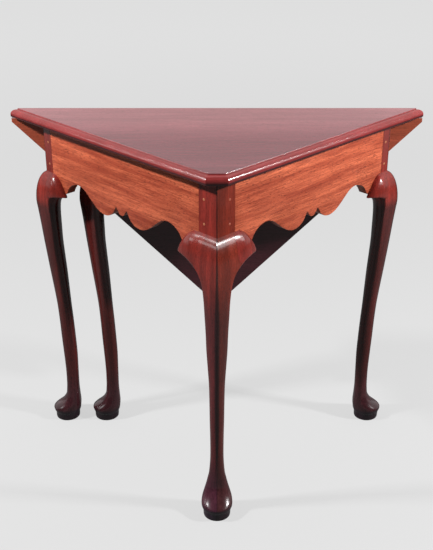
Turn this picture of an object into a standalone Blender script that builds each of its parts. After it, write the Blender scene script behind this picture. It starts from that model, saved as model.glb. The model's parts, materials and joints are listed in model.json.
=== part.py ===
"""Triangular drop-leaf corner table with three fixed cabriole legs and one swing leg.

Metres, +Z up. The long side of the top runs along X, the front corner points along -Y, and the origin is under the
middle of the table's box, on the floor.
"""
import math

import bmesh
import bpy
from mathutils import Matrix, Vector

# Driving sizes of the whole table
table_height = 0.711
half_length = 0.416
top_thick = 0.0185
top_overhang = 0.02687
post_side = 0.044
post_drop = 0.1025

# Clearances
gap = 0.0003
seat_trim = 0.0001
overrun = 0.004

# Edge and front corner of the boards
edge_width = 0.0113
edge_fillet = 0.0027
nose_height = 0.0032
nose_lift = 0.0028
nose_under = 0.0016
edge_steps = 5
corner_half = 0.019

# Aprons
apron_thick = 0.020
apron_depth = 0.147
apron_lap = 0.022
tenon_thick = 0.0066
tenon_long = 0.020
rear_tenon_long = 0.018
ear_rise = 0.0105
apron_curve_steps = 3
tenon_top_set = 0.012
tenon_high = 0.088
peg_radius = 0.0028
peg_long = 0.024
peg_upper_drop = 0.0395
peg_lower_drop = 0.0850
front_peg_set = 0.0125
rear_peg_set = 0.0090

# Legs: the knee stands out from the foot's axis by a share of the pad's radius
pad_radius = 0.0303
knee_out_share = 1.053
foot_set_in = 0.006
front_foot_forward = 0.006
foot_forward_from = 0.10
foot_forward_by = 0.60
leaf_extra = 0.008
rear_post_set = 0.0007
swing_offset = 0.089
leg_sides = 24
knee_ledge = 0.0011
shoulder_steps = 5
shoulder_turn = math.radians(80.0)
knee_widest_share = 0.892
full_wing_share = 0.907
undercut_share = 0.950
faces_square_from = 0.45
faces_square_by = 0.75

# Rails behind the long side
rail_thick = 0.020
rear_rail_face = 0.0465
rear_rail_high = 0.0925
fly_rail_drop = 0.0085
fly_rail_high = 0.080
knuckle_count = 5
knuckle_steps = 12
knuckle_pin_radius = 0.003
lap_length = 0.045
swing_peg_drop = 0.0285
swing_peg_pitch = 0.040
swing_peg_long = 0.034

# Leaf hinges
hinge_drop = 0.004
hinge_reach = 0.130
hinge_width = 0.060
plate_long = 0.026
plate_thick = 0.0018
barrel_radius = 0.0037
pin_radius = 0.0016
pin_clear = 0.0002
hinge_knuckles = 5
plate_screws = 3
plate_screw_shares = (0.55, 0.78)
web_width = 0.0027

# Screws
screw_head_radius = 0.0033
screw_shank_radius = 0.0016
screw_head_high = 0.0016
screw_long = 0.0125
rail_screw_long = 0.032
screw_steps = 10
screw_clear = 0.0002

# Top fastenings and glue blocks
button_long = 0.030
button_wide = 0.026
button_thick = 0.014
button_tongue = 0.006
button_tongue_thick = 0.006
button_screw_long = 0.026
block_side = 0.048
block_high = 0.060
block_drop = 0.004

# Knee blocks
front_block_reach = 0.0525
rear_block_reach = 0.042
knee_block_length = 0.120
knee_block_in = 0.014
knee_block_steps = 5
block_seat_depths = {"front": 0.0645, "rear": 0.0545}
block_seat_in = 0.0090

# Worked out from the driving sizes
root_two = math.sqrt(2.0)
frame_top = table_height - top_thick
knee_z = frame_top - post_drop
apron_reach = half_length - top_overhang * root_two
post_half = post_side / root_two
front_out = max(pad_radius * knee_out_share, pad_radius + front_foot_forward)
line_y = (apron_reach - foot_set_in + front_out - hinge_drop - top_thick) / 2.0
hinge_z = frame_top - hinge_drop
inner_reach = apron_reach - apron_thick * root_two
rear_post_y = rear_post_set + post_half
rear_post_x = apron_reach - rear_post_y - post_half
rear_corner_s = (rear_post_x + post_half) * root_two
rear_joint_s = rear_corner_s - apron_lap
middle_s = (post_side + rear_joint_s) / 2.0
half_span = (rear_joint_s - post_side) / 2.0
swing_post_x = rear_post_x - swing_offset
fly_front = rear_rail_face - gap * 2.0
knuckle_y = fly_front - rail_thick / 2.0
fly_back = fly_front - rail_thick
fly_rail_top = frame_top - fly_rail_drop
fly_rail_low = fly_rail_top - fly_rail_high
rear_rail_low = frame_top - rear_rail_high
peg_heights = (frame_top - peg_upper_drop, frame_top - peg_lower_drop)


def clear_scene():
    for old in list(bpy.data.objects):
        bpy.data.objects.remove(old, do_unlink=True)


def new_collection(name):
    collection = bpy.data.collections.new(name)
    bpy.context.scene.collection.children.link(collection)
    return collection


clear_scene()
parts = new_collection("corner_table")
cutters = new_collection("cutters")


def finish(name, colour, roughness, metallic=0.0):
    material = bpy.data.materials.new(name)
    material.use_nodes = True
    shader = material.node_tree.nodes["Principled BSDF"]
    shader.inputs["Base Color"].default_value = (*colour, 1.0)
    shader.inputs["Roughness"].default_value = roughness
    shader.inputs["Metallic"].default_value = metallic
    return material


top_wood = finish("polished_top_mahogany", (0.19, 0.06, 0.05), 0.15)
apron_wood = finish("apron_mahogany", (0.52, 0.16, 0.07), 0.35)
leg_wood = finish("leg_mahogany", (0.13, 0.025, 0.025), 0.2)
inner_wood = finish("inner_hardwood", (0.45, 0.28, 0.15), 0.6)
peg_wood = finish("peg_wood", (0.62, 0.27, 0.15), 0.5)
hinge_metal = finish("hinge_brass", (0.62, 0.45, 0.20), 0.35, 1.0)
screw_metal = finish("screw_steel", (0.45, 0.45, 0.46), 0.4, 1.0)


def add_object(name, mesh, material):
    piece = bpy.data.objects.new(name, mesh)
    mesh.name = name
    mesh.materials.clear()
    mesh.materials.append(material)
    parts.objects.link(piece)
    return piece


def add_set(name, meshes, material):
    """Like pieces, each its own object with a number."""
    return [add_object(f"{name}_{i + 1}", mesh, material) for i, mesh in enumerate(meshes)]


def mesh_from(build):
    mesh = bpy.data.meshes.new("shape")
    body = bmesh.new()
    build(body)
    body.to_mesh(mesh)
    body.free()
    return mesh


def move_mesh(mesh, matrix):
    """Moves a mesh, and turns its faces out again after a mirror."""
    mesh.transform(matrix)
    if matrix.determinant() < 0.0:
        mesh.flip_normals()
    return mesh


def joined(meshes):
    """One mesh with every solid of a group."""
    body = bmesh.new()
    for mesh in meshes:
        body.from_mesh(mesh)
    mesh = bpy.data.meshes.new("group")
    body.to_mesh(mesh)
    body.free()
    return mesh


def box_mesh(low, high):
    size = Vector(high) - Vector(low)
    middle = (Vector(high) + Vector(low)) / 2.0
    place = Matrix.Translation(middle) @ Matrix.Diagonal((*size, 1.0))
    return mesh_from(lambda body: bmesh.ops.create_cube(body, size=1.0, matrix=place))


def rod_mesh(start, end, radius, sides=12, end_radius=None):
    start = Vector(start)
    end = Vector(end)
    run = end - start
    turn = run.to_track_quat("Z", "Y").to_matrix().to_4x4()
    place = Matrix.Translation((start + end) / 2.0) @ turn
    second = radius if end_radius is None else end_radius
    return mesh_from(lambda body: bmesh.ops.create_cone(
        body, cap_ends=True, segments=sides, radius1=radius, radius2=second, depth=run.length, matrix=place))


def outline_mesh(points, thickness, matrix):
    """A flat outline, filled and given its thickness, as one welded mesh."""
    curve = bpy.data.curves.new("outline", "CURVE")
    curve.dimensions = "2D"
    curve.fill_mode = "BOTH"
    curve.extrude = thickness / 2.0
    spline = curve.splines.new("POLY")
    spline.points.add(len(points) - 1)
    for point, (across, up) in zip(spline.points, points):
        point.co = (across, up, 0.0, 1.0)
    spline.use_cyclic_u = True
    guide = bpy.data.objects.new("outline", curve)
    cutters.objects.link(guide)
    graph = bpy.context.evaluated_depsgraph_get()
    mesh = bpy.data.meshes.new_from_object(guide.evaluated_get(graph))
    body = bmesh.new()
    body.from_mesh(mesh)
    bmesh.ops.remove_doubles(body, verts=body.verts, dist=0.00001)
    bmesh.ops.recalc_face_normals(body, faces=body.faces)
    body.to_mesh(mesh)
    body.free()
    bpy.data.objects.remove(guide, do_unlink=True)
    return move_mesh(mesh, matrix)


def loft_mesh(rings):
    """A closed solid through rings that all have the same number of points."""
    body = bmesh.new()
    loops = [[body.verts.new(point) for point in ring] for ring in rings]
    count = len(rings[0])
    for lower, upper in zip(loops, loops[1:]):
        for i in range(count):
            j = (i + 1) % count
            body.faces.new((lower[i], lower[j], upper[j], upper[i]))
    bmesh.ops.triangulate(body, faces=body.faces, quad_method="FIXED")
    body.faces.new(list(reversed(loops[0])))
    body.faces.new(loops[-1])
    bmesh.ops.recalc_face_normals(body, faces=body.faces)
    mesh = bpy.data.meshes.new("loft")
    body.to_mesh(mesh)
    body.free()
    return mesh


def change(piece, mesh, operation="DIFFERENCE"):
    """Cuts a mesh out of a piece, or joins it on, with a live Boolean."""
    tool = bpy.data.objects.new("tool_for_" + piece.name, mesh)
    tool.display_type = "WIRE"
    tool.hide_render = True
    cutters.objects.link(tool)
    modifier = piece.modifiers.new("tool", "BOOLEAN")
    modifier.operation = operation
    modifier.solver = "EXACT"
    modifier.object = tool


def smooth_through(points, steps):
    """Points on a smooth curve that passes through every point given."""
    result = []
    last = len(points) - 1
    for i in range(last):
        before = Vector(points[max(i - 1, 0)])
        start = Vector(points[i])
        end = Vector(points[i + 1])
        after = Vector(points[min(i + 2, last)])
        for k in range(steps):
            t = k / steps
            result.append(tuple(0.5 * (
                2.0 * start + (end - before) * t
                + (2.0 * before - 5.0 * start + 4.0 * end - after) * t * t
                + (3.0 * start - before - 3.0 * end + after) * t * t * t)))
    result.append(tuple(points[last]))
    return result


def face_matrix(side):
    """From an apron's own frame (along, up, out of its face) to the table; side is 1 on the right, -1 on the left."""
    half = 1.0 / root_two
    return Matrix((
        (side * half, 0.0, side * half, 0.0),
        (half, 0.0, -half, line_y - apron_reach),
        (0.0, 1.0, 0.0, 0.0),
        (0.0, 0.0, 0.0, 1.0)))


def pivot(piece, point):
    """Puts a moving piece's origin on its joint's axis."""
    piece.data.transform(Matrix.Translation(-Vector(point)))
    piece.location = point


# Boards: the leaf is the same triangle as the fixed top, a little larger and blunt at its two sharp corners
def edge_profile():
    """The moulded edge from the underside up: how far each line lies inside the nose, and how high."""
    round_in = edge_width - edge_fillet / 2.0
    round_low = nose_lift + nose_height
    round_high = top_thick - edge_fillet - round_low
    points = [(nose_under, 0.0), (0.0, nose_lift)]
    for i in range(edge_steps + 1):
        turn = math.radians(90.0) * i / edge_steps
        points.append((round_in * (1.0 - math.cos(turn)), round_low + round_high * math.sin(turn)))
    points.append((edge_width - edge_fillet / 4.0, top_thick - edge_fillet + gap))
    points.append((edge_width, top_thick))
    return points


def board_mesh(extra=0.0):
    """A board in the fixed top's place, with its long edge on the joint line; extra blunts the ends of a larger one."""
    rings = []
    for inset, height in edge_profile():
        reach = half_length + extra - inset * root_two
        corner = half_length + extra - corner_half - inset
        edge = gap / 2.0
        half = [(corner, reach - corner), (edge, reach - edge)]
        if extra > 0.0:
            end = half_length - inset
            half = [(corner, reach - corner), (reach - end, end), (edge, end)]
        outline = [(-x, y) for y, x in reversed(half)] + [(x, y) for y, x in half]
        rings.append([(x, line_y - y, frame_top + height) for x, y in outline])
    return loft_mesh(rings)


pin_point = (0.0, line_y, hinge_z)
hang = (Matrix.Translation(pin_point) @ Matrix.Rotation(math.radians(-90.0), 4, "X")
        @ Matrix.Translation(-Vector(pin_point)))
leaf_side = hang @ Matrix.Translation((0.0, line_y, 0.0)) @ Matrix.Diagonal((1.0, -1.0, 1.0, 1.0)) @ (
    Matrix.Translation((0.0, -line_y, 0.0)))

def turned_mesh(profile, steps, matrix):
    """A profile given as (radius, height) from top to bottom, turned about Z and moved into place."""
    mesh = bpy.data.meshes.new("profile")
    mesh.from_pydata([(radius, 0.0, height) for radius, height in profile],
                     [(i, i + 1) for i in range(len(profile) - 1)], [])
    guide = bpy.data.objects.new("profile", mesh)
    cutters.objects.link(guide)
    screw = guide.modifiers.new("turn", "SCREW")
    screw.steps = steps
    screw.render_steps = steps
    screw.use_merge_vertices = True
    screw.merge_threshold = 0.00001
    graph = bpy.context.evaluated_depsgraph_get()
    turned = bpy.data.meshes.new_from_object(guide.evaluated_get(graph))
    bpy.data.objects.remove(guide, do_unlink=True)
    return move_mesh(turned, matrix)


def screw_mesh(length, matrix, extra=0.0, lead=0.0):
    """A countersunk screw whose head lies at the origin and whose point is up +Z; extra and lead make its hole."""
    shank = screw_shank_radius + extra
    head = screw_head_radius + extra
    profile = [(0.0, length + extra), (shank, length - screw_head_radius), (shank, screw_head_high + extra),
               (head, extra), (head, -lead), (0.0, -lead)]
    if lead == 0.0:
        profile = [(0.0, length), (shank, length - screw_head_radius), (shank, screw_head_high), (head, 0.0),
                   (0.0, 0.0)]
    return turned_mesh(profile, screw_steps, matrix)


def settle(piece):
    """Applies a piece's Booleans and removes their tools."""
    graph = bpy.context.evaluated_depsgraph_get()
    mesh = bpy.data.meshes.new_from_object(piece.evaluated_get(graph))
    tools = [modifier.object for modifier in piece.modifiers]
    piece.modifiers.clear()
    piece.data = mesh
    for tool in tools:
        bpy.data.objects.remove(tool, do_unlink=True)


top_board = add_object("top_board", board_mesh(), top_wood)
drop_leaf = add_object("drop_leaf", board_mesh(leaf_extra), top_wood)


def plate_screw_places(middle_x):
    """Where a hinge plate's screws go, on the top's side: three along the plate, the middle one set further back."""
    places = []
    for i in range(plate_screws):
        across = (i - (plate_screws - 1) / 2.0) * hinge_width / plate_screws
        back = plate_long * plate_screw_shares[i % 2]
        places.append(Matrix.Translation((middle_x + across, line_y - back, frame_top)))
    return places


def hinge_plate(name, middle_x, own):
    """One plate of a leaf hinge with its own knuckles, on the top's side."""
    half = hinge_width / 2.0
    pitch = hinge_width / hinge_knuckles
    plate = add_object(name, box_mesh(
        (middle_x - half, line_y - plate_long, frame_top),
        (middle_x + half, line_y - barrel_radius + web_width, frame_top + plate_thick)), hinge_metal)
    webs = []
    barrels = []
    for i in range(own, hinge_knuckles, 2):
        left = middle_x - half + i * pitch + gap / 2.0
        right = left + pitch - gap
        webs.append(box_mesh((left, line_y - barrel_radius, hinge_z),
                             (right, line_y - barrel_radius + web_width, frame_top + plate_thick / 2.0)))
        barrels.append(rod_mesh((left, line_y, hinge_z), (right, line_y, hinge_z), barrel_radius))
    change(plate, joined(webs), "UNION")
    change(plate, joined(barrels), "UNION")
    change(plate, rod_mesh((middle_x - half - overrun, line_y, hinge_z), (middle_x + half + overrun, line_y, hinge_z),
                           pin_radius + pin_clear))
    holes = [screw_mesh(screw_long, hole, screw_clear, overrun) for hole in plate_screw_places(middle_x)]
    change(plate, joined(holes))
    settle(plate)
    return plate


def hinge_seat(board, middle_x):
    """The pocket of a plate and the holes of its screws in a board."""
    half = hinge_width / 2.0 + gap
    change(board, box_mesh(
        (middle_x - half, line_y - plate_long - gap, frame_top - overrun),
        (middle_x + half, line_y + overrun, frame_top + plate_thick + gap)))
    holes = [screw_mesh(screw_long, hole, screw_clear, overrun) for hole in plate_screw_places(middle_x)]
    change(board, joined(holes))


leaf_pieces = []
for word, side in (("left", -1), ("right", 1)):
    hinge_x = side * hinge_reach
    hinge_plate(word + "_hinge_top_plate", hinge_x, 0)
    leaf_plate = hinge_plate(word + "_hinge_leaf_plate", hinge_x, 1)
    move_mesh(leaf_plate.data, leaf_side)
    leaf_pieces.append(leaf_plate)
    hinge_seat(top_board, hinge_x)
    hinge_seat(drop_leaf, hinge_x)
    pin_half = (hinge_width - gap) / 2.0
    add_object(word + "_hinge_pin", rod_mesh(
        (hinge_x - pin_half, line_y, hinge_z), (hinge_x + pin_half, line_y, hinge_z), pin_radius), hinge_metal)

settle(top_board)
settle(drop_leaf)
move_mesh(drop_leaf.data, leaf_side)
leaf_pieces.append(drop_leaf)
plate_holes = [hole for side in (-1, 1) for hole in plate_screw_places(side * hinge_reach)]
add_set("top_plate_screw", [screw_mesh(screw_long, hole) for hole in plate_holes], screw_metal)
leaf_pieces += add_set(
    "leaf_plate_screw", [screw_mesh(screw_long, leaf_side @ hole) for hole in plate_holes], screw_metal)


# Legs
# Up the leg: height as a share of the knee line, then the outer side, the inner side, half the width and half the width
# on a side with full wings as shares of the pad's radius from the foot's axis, and the powers of the section's front
# and back: 2 is round, 1 is flat faces that meet in a ridge
leg_shares = (
    (0.000, 0.865, -0.865, 0.865, 0.865, 2.00, 2.00),
    (0.018, 0.885, -0.885, 0.885, 0.885, 2.00, 2.00),
    (0.0265, 0.895, -0.895, 0.895, 0.895, 2.00, 2.00),
    (0.029, 0.945, -0.945, 0.945, 0.945, 2.00, 2.00),
    (0.035, 0.985, -0.985, 0.985, 0.985, 2.00, 2.00),
    (0.043, 1.000, -1.005, 1.000, 1.000, 2.00, 2.00),
    (0.051, 0.840, -1.025, 0.995, 0.995, 2.00, 2.00),
    (0.060, 0.590, -1.040, 0.965, 0.965, 2.00, 2.00),
    (0.071, 0.350, -1.045, 0.900, 0.900, 2.00, 2.00),
    (0.085, 0.150, -1.030, 0.810, 0.810, 2.00, 2.00),
    (0.102, 0.000, -1.010, 0.710, 0.710, 2.00, 2.00),
    (0.127, -0.055, -0.990, 0.595, 0.595, 2.00, 2.00),
    (0.153, -0.080, -0.987, 0.500, 0.500, 2.00, 2.00),
    (0.208, -0.080, -1.000, 0.428, 0.428, 1.96, 2.00),
    (0.279, -0.020, -1.013, 0.430, 0.430, 1.82, 2.00),
    (0.347, 0.046, -0.970, 0.454, 0.454, 1.70, 2.00),
    (0.415, 0.100, -0.910, 0.468, 0.468, 1.58, 1.98),
    (0.483, 0.180, -0.835, 0.492, 0.492, 1.48, 1.96),
    (0.547, 0.310, -0.780, 0.562, 0.562, 1.40, 1.94),
    (0.614, 0.465, -0.720, 0.638, 0.638, 1.33, 1.92),
    (0.676, 0.600, -0.645, 0.675, 0.675, 1.27, 1.90),
    (0.739, 0.735, -0.572, 0.745, 0.735, 1.22, 1.88),
    (0.786, 0.825, -0.560, 0.810, 0.780, 1.18, 1.86),
    (0.831, 0.918, -0.552, 0.882, 0.860, 1.14, 1.84),
    (0.861, 0.987, -0.565, 0.912, 0.985, 1.06, 1.82),
    (0.880, 1.035, -0.600, 0.930, 1.130, 1.02, 1.80),
    (knee_widest_share, knee_out_share, -0.650, 0.938, 1.290, 1.00, 1.78),
)


def eased_share(value, low, high):
    """Rises smoothly from 0 to 1 between two values."""
    share = min(max((value - low) / (high - low), 0.0), 1.0)
    return share * share * (3.0 - 2.0 * share)


def leg_stations(winged):
    """Sections up the leg. On a winged leg the knee's faces run back to the knee blocks on both sides."""
    stations = []
    for height, outer, inner, width, wing, front, back in leg_shares:
        side = wing if winged else width
        ahead = front_foot_forward * (1.0 - eased_share(height, foot_forward_from, foot_forward_by)) if winged else 0.0
        stations.append((height, outer * pad_radius + ahead, inner * pad_radius + ahead, side * pad_radius,
                         front, back))
    knee = stations[-1]
    post_back = foot_set_in - 2.0 * post_half
    ledge_out = foot_set_in + knee_ledge * root_two
    rows = []
    for step in range(1, shoulder_steps + 1):
        turn = shoulder_turn * step / shoulder_steps
        up = math.sin(turn) / math.sin(shoulder_turn)
        back = (1.0 - math.cos(turn)) / (1.0 - math.cos(shoulder_turn))
        rows.append((knee_widest_share + (1.0 - knee_widest_share) * up, knee[1] + (ledge_out - knee[1]) * back))
    rows.append((1.0 + seat_trim / knee_z, foot_set_in))
    for height, outer in rows:
        back_in = eased_share(height, knee_widest_share, undercut_share)
        rise = min((height - knee_widest_share) / (1.0 - knee_widest_share), 1.0)
        side = knee[3] + (post_half - knee[3]) * rise
        if winged:
            full_wing = (post_side - gap + (outer - foot_set_in) / root_two) / root_two
            side = knee[3] + (full_wing - knee[3]) * eased_share(height, knee_widest_share, full_wing_share)
        inner = knee[2] + (post_back - knee[2]) * back_in
        stations.append((height, outer, inner, side, 1.0, 1.0 + (knee[5] - 1.0) * (1.0 - back_in)))
    stations.append(((frame_top - gap) / knee_z, foot_set_in, post_back, post_half, 1.0, 1.0))
    return stations


def leg_section(height, outer, inner, side, front, back):
    """A ring round the leg in its own frame: toe direction, sideways, up."""
    square = eased_share(height, faces_square_from, faces_square_by)
    middle = (outer + inner) / 2.0
    middle += (outer - side - middle) * square
    ring = []
    for i in range(leg_sides):
        turn = 2.0 * math.pi * i / leg_sides
        along = math.cos(turn)
        across = math.sin(turn)
        power, reach = (front, outer - middle) if along > 0.0 else (back, middle - inner)
        ring.append((middle + math.copysign(abs(along) ** (2.0 / power), along) * reach,
                     math.copysign(abs(across) ** (2.0 / power), across) * side, height * knee_z))
    return ring


def leg_mesh(winged=False):
    return loft_mesh([leg_section(*station) for station in leg_stations(winged)])


def leg_matrix(foot_x, foot_y, toe_x, toe_y):
    return Matrix(((toe_x, -toe_y, 0.0, foot_x), (toe_y, toe_x, 0.0, foot_y), (0.0, 0.0, 1.0, 0.0),
                   (0.0, 0.0, 0.0, 1.0)))


front_foot_y = line_y - apron_reach + foot_set_in
rear_foot_x = rear_post_x + post_half - foot_set_in
rear_foot_y = line_y - rear_post_y
front_place = leg_matrix(0.0, front_foot_y, 0.0, -1.0)
left_place = leg_matrix(-rear_foot_x, rear_foot_y, -1.0, 0.0)
right_place = leg_matrix(rear_foot_x, rear_foot_y, 1.0, 0.0)
swing_place = leg_matrix(swing_offset - rear_foot_x, rear_foot_y, -1.0, 0.0)
front_leg = add_object("front_leg", move_mesh(leg_mesh(True), front_place), leg_wood)
left_leg = add_object("left_leg", move_mesh(leg_mesh(), left_place), leg_wood)
right_leg = add_object("right_leg", move_mesh(leg_mesh(), right_place), leg_wood)
swing_leg = add_object("swing_leg", move_mesh(leg_mesh(), swing_place), leg_wood)


# Aprons and their joints
# Half of the scalloped lower edge, out from the apron's middle: the way along as a share of half the apron, and the
# drop below the frame's top as a share of the apron's depth
middle_lobe_shares = ((0.0, 0.915), (0.030, 0.900), (0.071, 0.823))
outer_lobe_shares = ((0.071, 0.823), (0.092, 0.862), (0.122, 0.930), (0.180, 0.984), (0.250, 1.000), (0.325, 0.972),
                     (0.400, 0.905), (0.465, 0.830), (0.530, 0.762), (0.600, 0.732), (0.665, 0.742), (0.725, 0.785),
                     (0.765, 0.840), (0.803, 0.925))


def apron_outline():
    """The apron's face, along it and up, with both ends square."""
    low = []
    for shares in (middle_lobe_shares, outer_lobe_shares):
        curve = smooth_through(shares, apron_curve_steps)
        low.extend((along * half_span, frame_top - drop * apron_depth) for along, drop in curve[:-1])
    ear = frame_top - apron_depth + ear_rise
    low.append((outer_lobe_shares[-1][0] * half_span, ear))
    low.append((half_span - gap, ear))
    left_half = [(middle_s - along, up) for along, up in reversed(low[1:])]
    right_half = [(middle_s + along, up) for along, up in low]
    top = frame_top - gap
    return left_half + right_half + [(right_half[-1][0], top), (left_half[0][0], top)]


def face_box(side, low, high):
    """A box in an apron's frame: along, up, out."""
    return move_mesh(box_mesh(low, high), face_matrix(side))


tenon_out = -(apron_thick - tenon_thick) / 2.0
tenon_top = frame_top - tenon_top_set
tenon_low = tenon_top - tenon_high
seat_low = frame_top - apron_depth + ear_rise - gap
apron_ends = (("front", post_side, -1, tenon_long, front_peg_set),
              ("rear", rear_joint_s, 1, rear_tenon_long, rear_peg_set))
table_sides = (("left", -1), ("right", 1))


def spread(first, second):
    return min(first, second), max(first, second)


def apron_tenon(side, joint, way, reach, extra, root):
    """A tenon, or with extra its mortise, that starts at root inside the apron."""
    near, far = spread(joint - way * root, joint + way * (reach + extra))
    return face_box(side, (near, tenon_low - extra, tenon_out - tenon_thick - extra),
                    (far, tenon_top + extra, tenon_out + extra))


def peg_meshes(side, joint, way, peg_set, extra, lead):
    across = joint + way * peg_set
    return [move_mesh(rod_mesh((across, up, -peg_long - extra), (across, up, lead), peg_radius + extra),
                      face_matrix(side)) for up in peg_heights]


# Grooves for the buttons run along the inner face of each apron
button_low = frame_top - gap - button_thick
groove_out = -apron_thick
leg_of = {"front_left": front_leg, "front_right": front_leg, "rear_left": left_leg, "rear_right": right_leg}
button_place_shares = (0.26, 0.60)


def button_box(side, along, extra):
    """The tongue of a button, or with extra the groove that it sits in."""
    half = button_wide / 2.0 - gap + extra
    low = button_low + gap
    return face_box(side, (along - half, low - extra, groove_out - overrun),
                    (along + half, low + button_tongue_thick + extra, groove_out + button_tongue + extra))


button_number = 0
for word, side in table_sides:
    place = face_matrix(side) @ Matrix.Translation((0.0, 0.0, -apron_thick / 2.0))
    apron = add_object(word + "_apron", outline_mesh(apron_outline(), apron_thick, place), apron_wood)
    for end, joint, way, reach, peg_set in apron_ends:
        leg = leg_of[f"{end}_{word}"]
        change(apron, apron_tenon(side, joint, way, reach, 0.0, overrun), "UNION")
        change(leg, apron_tenon(side, joint, way, reach, gap, overrun))
        near, far = spread(joint + way * seat_trim, joint - way * post_side)
        change(leg, face_box(side, (near, seat_low, -apron_thick - gap), (far, table_height, gap)))
        near, far = spread(joint + way * gap, joint - way * post_side)
        change(leg, face_box(side, (near, knee_z - block_seat_depths[end], -block_seat_in),
                             (far, table_height + gap, post_side)))
        holes = joined(peg_meshes(side, joint, way, peg_set, gap, overrun))
        change(apron, holes)
        change(leg, holes.copy())
        add_set(end + "_" + word + "_peg", peg_meshes(side, joint, way, peg_set, 0.0, gap), peg_wood)
    for share in button_place_shares:
        button_number += 1
        along = post_side + share * (rear_joint_s - post_side)
        change(apron, button_box(side, along, gap))
        half = button_wide / 2.0
        button = add_object(f"top_button_{button_number}", face_box(
            side, (along - half, button_low, groove_out - gap - button_long),
            (along + half, button_low + button_thick, groove_out - gap)), inner_wood)
        change(button, button_box(side, along, 0.0), "UNION")
        screw_place = face_matrix(side) @ Matrix.Translation((along, button_low, groove_out - button_long / 2.0))
        screw_place = Matrix.Translation(screw_place.to_translation())
        change(button, screw_mesh(button_screw_long, screw_place, screw_clear, overrun))
        change(top_board, screw_mesh(button_screw_long, screw_place, screw_clear, overrun))
        add_object(f"button_screw_{button_number}", screw_mesh(button_screw_long, screw_place), screw_metal)


# Rails behind the long side
def upright_prism(points, low, high):
    """A plan outline, given as (across, distance in front of the joint line), raised from low to high."""
    place = Matrix.Translation((0.0, line_y, (low + high) / 2.0))
    return outline_mesh([(x, -back) for x, back in points], high - low, place)


side_gap = gap * root_two
rail_front = rear_rail_face + rail_thick
rail_end = inner_reach - rail_front - side_gap
corner_back = (inner_reach - rear_post_x + post_half + rear_post_y) / 2.0
corner_x = inner_reach - corner_back - side_gap
post_end = rear_post_x - post_half + rear_rail_face - rear_post_y - side_gap
rear_rail = add_object("rear_rail", upright_prism(
    [(-rail_end, rail_front), (rail_end, rail_front), (corner_x, corner_back), (post_end, rear_rail_face),
     (-post_end, rear_rail_face), (-corner_x, corner_back)], rear_rail_low, frame_top - gap), inner_wood)

shoulder = rail_thick / 2.0 + gap
fixed_end = rear_post_x - post_half - side_gap
lap_x = swing_post_x - post_half + lap_length
knuckle_pitch = (fly_rail_top - fly_rail_low) / knuckle_count


def knuckle_meshes(side, own):
    """The fingers of one half of the wooden knuckle joint, round the pin at the middle."""
    meshes = []
    radius = rail_thick / 2.0
    root = shoulder + overrun
    for i in range(own, knuckle_count, 2):
        low = fly_rail_low + i * knuckle_pitch + gap / 2.0
        low = fly_rail_low if i == 0 else low
        high = fly_rail_low + (i + 1) * knuckle_pitch - gap / 2.0
        high = fly_rail_top if i == knuckle_count - 1 else high
        turns = [math.pi * (0.5 + k / knuckle_steps) for k in range(knuckle_steps + 1)]
        points = [(side * radius * math.cos(turn), knuckle_y - radius * math.sin(turn)) for turn in turns]
        points += [(side * root, knuckle_y + radius), (side * root, knuckle_y - radius)]
        meshes.append(upright_prism(points, low, high))
    return meshes


def fly_rail(name, side, far, own):
    near, end = spread(side * shoulder, side * far)
    rail = add_object(name, box_mesh((near, line_y - fly_front, fly_rail_low), (end, line_y - fly_back, fly_rail_top)),
                      inner_wood)
    change(rail, joined(knuckle_meshes(side, own)), "UNION")
    change(rail, rod_mesh((0.0, line_y - knuckle_y, fly_rail_low - overrun),
                          (0.0, line_y - knuckle_y, fly_rail_top + overrun), knuckle_pin_radius + pin_clear))
    return rail


fixed_fly_rail = fly_rail("fixed_fly_rail", 1, fixed_end, 0)
swing_fly_rail = fly_rail("swing_fly_rail", -1, lap_x, 1)
add_object("knuckle_pin", rod_mesh((0.0, line_y - knuckle_y, fly_rail_low), (0.0, line_y - knuckle_y, fly_rail_top),
                                   knuckle_pin_radius), screw_metal)

# The swing leg's post is flush with its rail in front, and the rail's end is let into it
change(swing_leg, box_mesh((-lap_x - lap_length, line_y - apron_reach, rear_rail_low - gap),
                           (-lap_x + lap_length, line_y - fly_front, table_height)))
change(swing_leg, box_mesh((-lap_x - gap, line_y - fly_front - overrun, fly_rail_low - gap),
                           (-lap_x + lap_length + overrun, line_y - fly_back + gap, fly_rail_top + gap)))
swing_peg_heights = (frame_top - swing_peg_drop, frame_top - swing_peg_drop - swing_peg_pitch)


def swing_pegs(extra, lead):
    back = line_y - fly_front
    return [rod_mesh((-swing_post_x, back - lead, up), (-swing_post_x, back + swing_peg_long + extra, up),
                     peg_radius + extra) for up in swing_peg_heights]


change(swing_leg, joined(swing_pegs(gap, overrun)))
change(swing_fly_rail, joined(swing_pegs(gap, overrun)))
swing_leg_pegs = add_set("swing_leg_peg", swing_pegs(0.0, 0.0), peg_wood)

# Screws of the fixed fly rail, from behind into the rear rail
rail_screw_shares = (0.2, 0.5, 0.8)
rail_screw_turn = Matrix.Rotation(math.radians(90.0), 4, "X")
for i, share in enumerate(rail_screw_shares):
    screw_place = Matrix.Translation((share * fixed_end, line_y - fly_back, (fly_rail_low + fly_rail_top) / 2.0))
    screw_place = screw_place @ rail_screw_turn
    for target in (fixed_fly_rail, rear_rail):
        change(target, screw_mesh(rail_screw_long, screw_place, screw_clear, overrun))
    add_object(f"fly_rail_screw_{i + 1}", screw_mesh(rail_screw_long, screw_place), screw_metal)

# Glue blocks in the sharp corners between the aprons and the rear rail
block_top = frame_top - block_drop
for word, side in table_sides:
    front = rail_front + gap
    tip = inner_reach - front - side_gap
    run = block_side / root_two
    add_object(word + "_glue_block", upright_prism(
        [(side * tip, front), (side * (tip - block_side), front), (side * (tip - run), front + run)],
        block_top - block_high, block_top), inner_wood)


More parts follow.
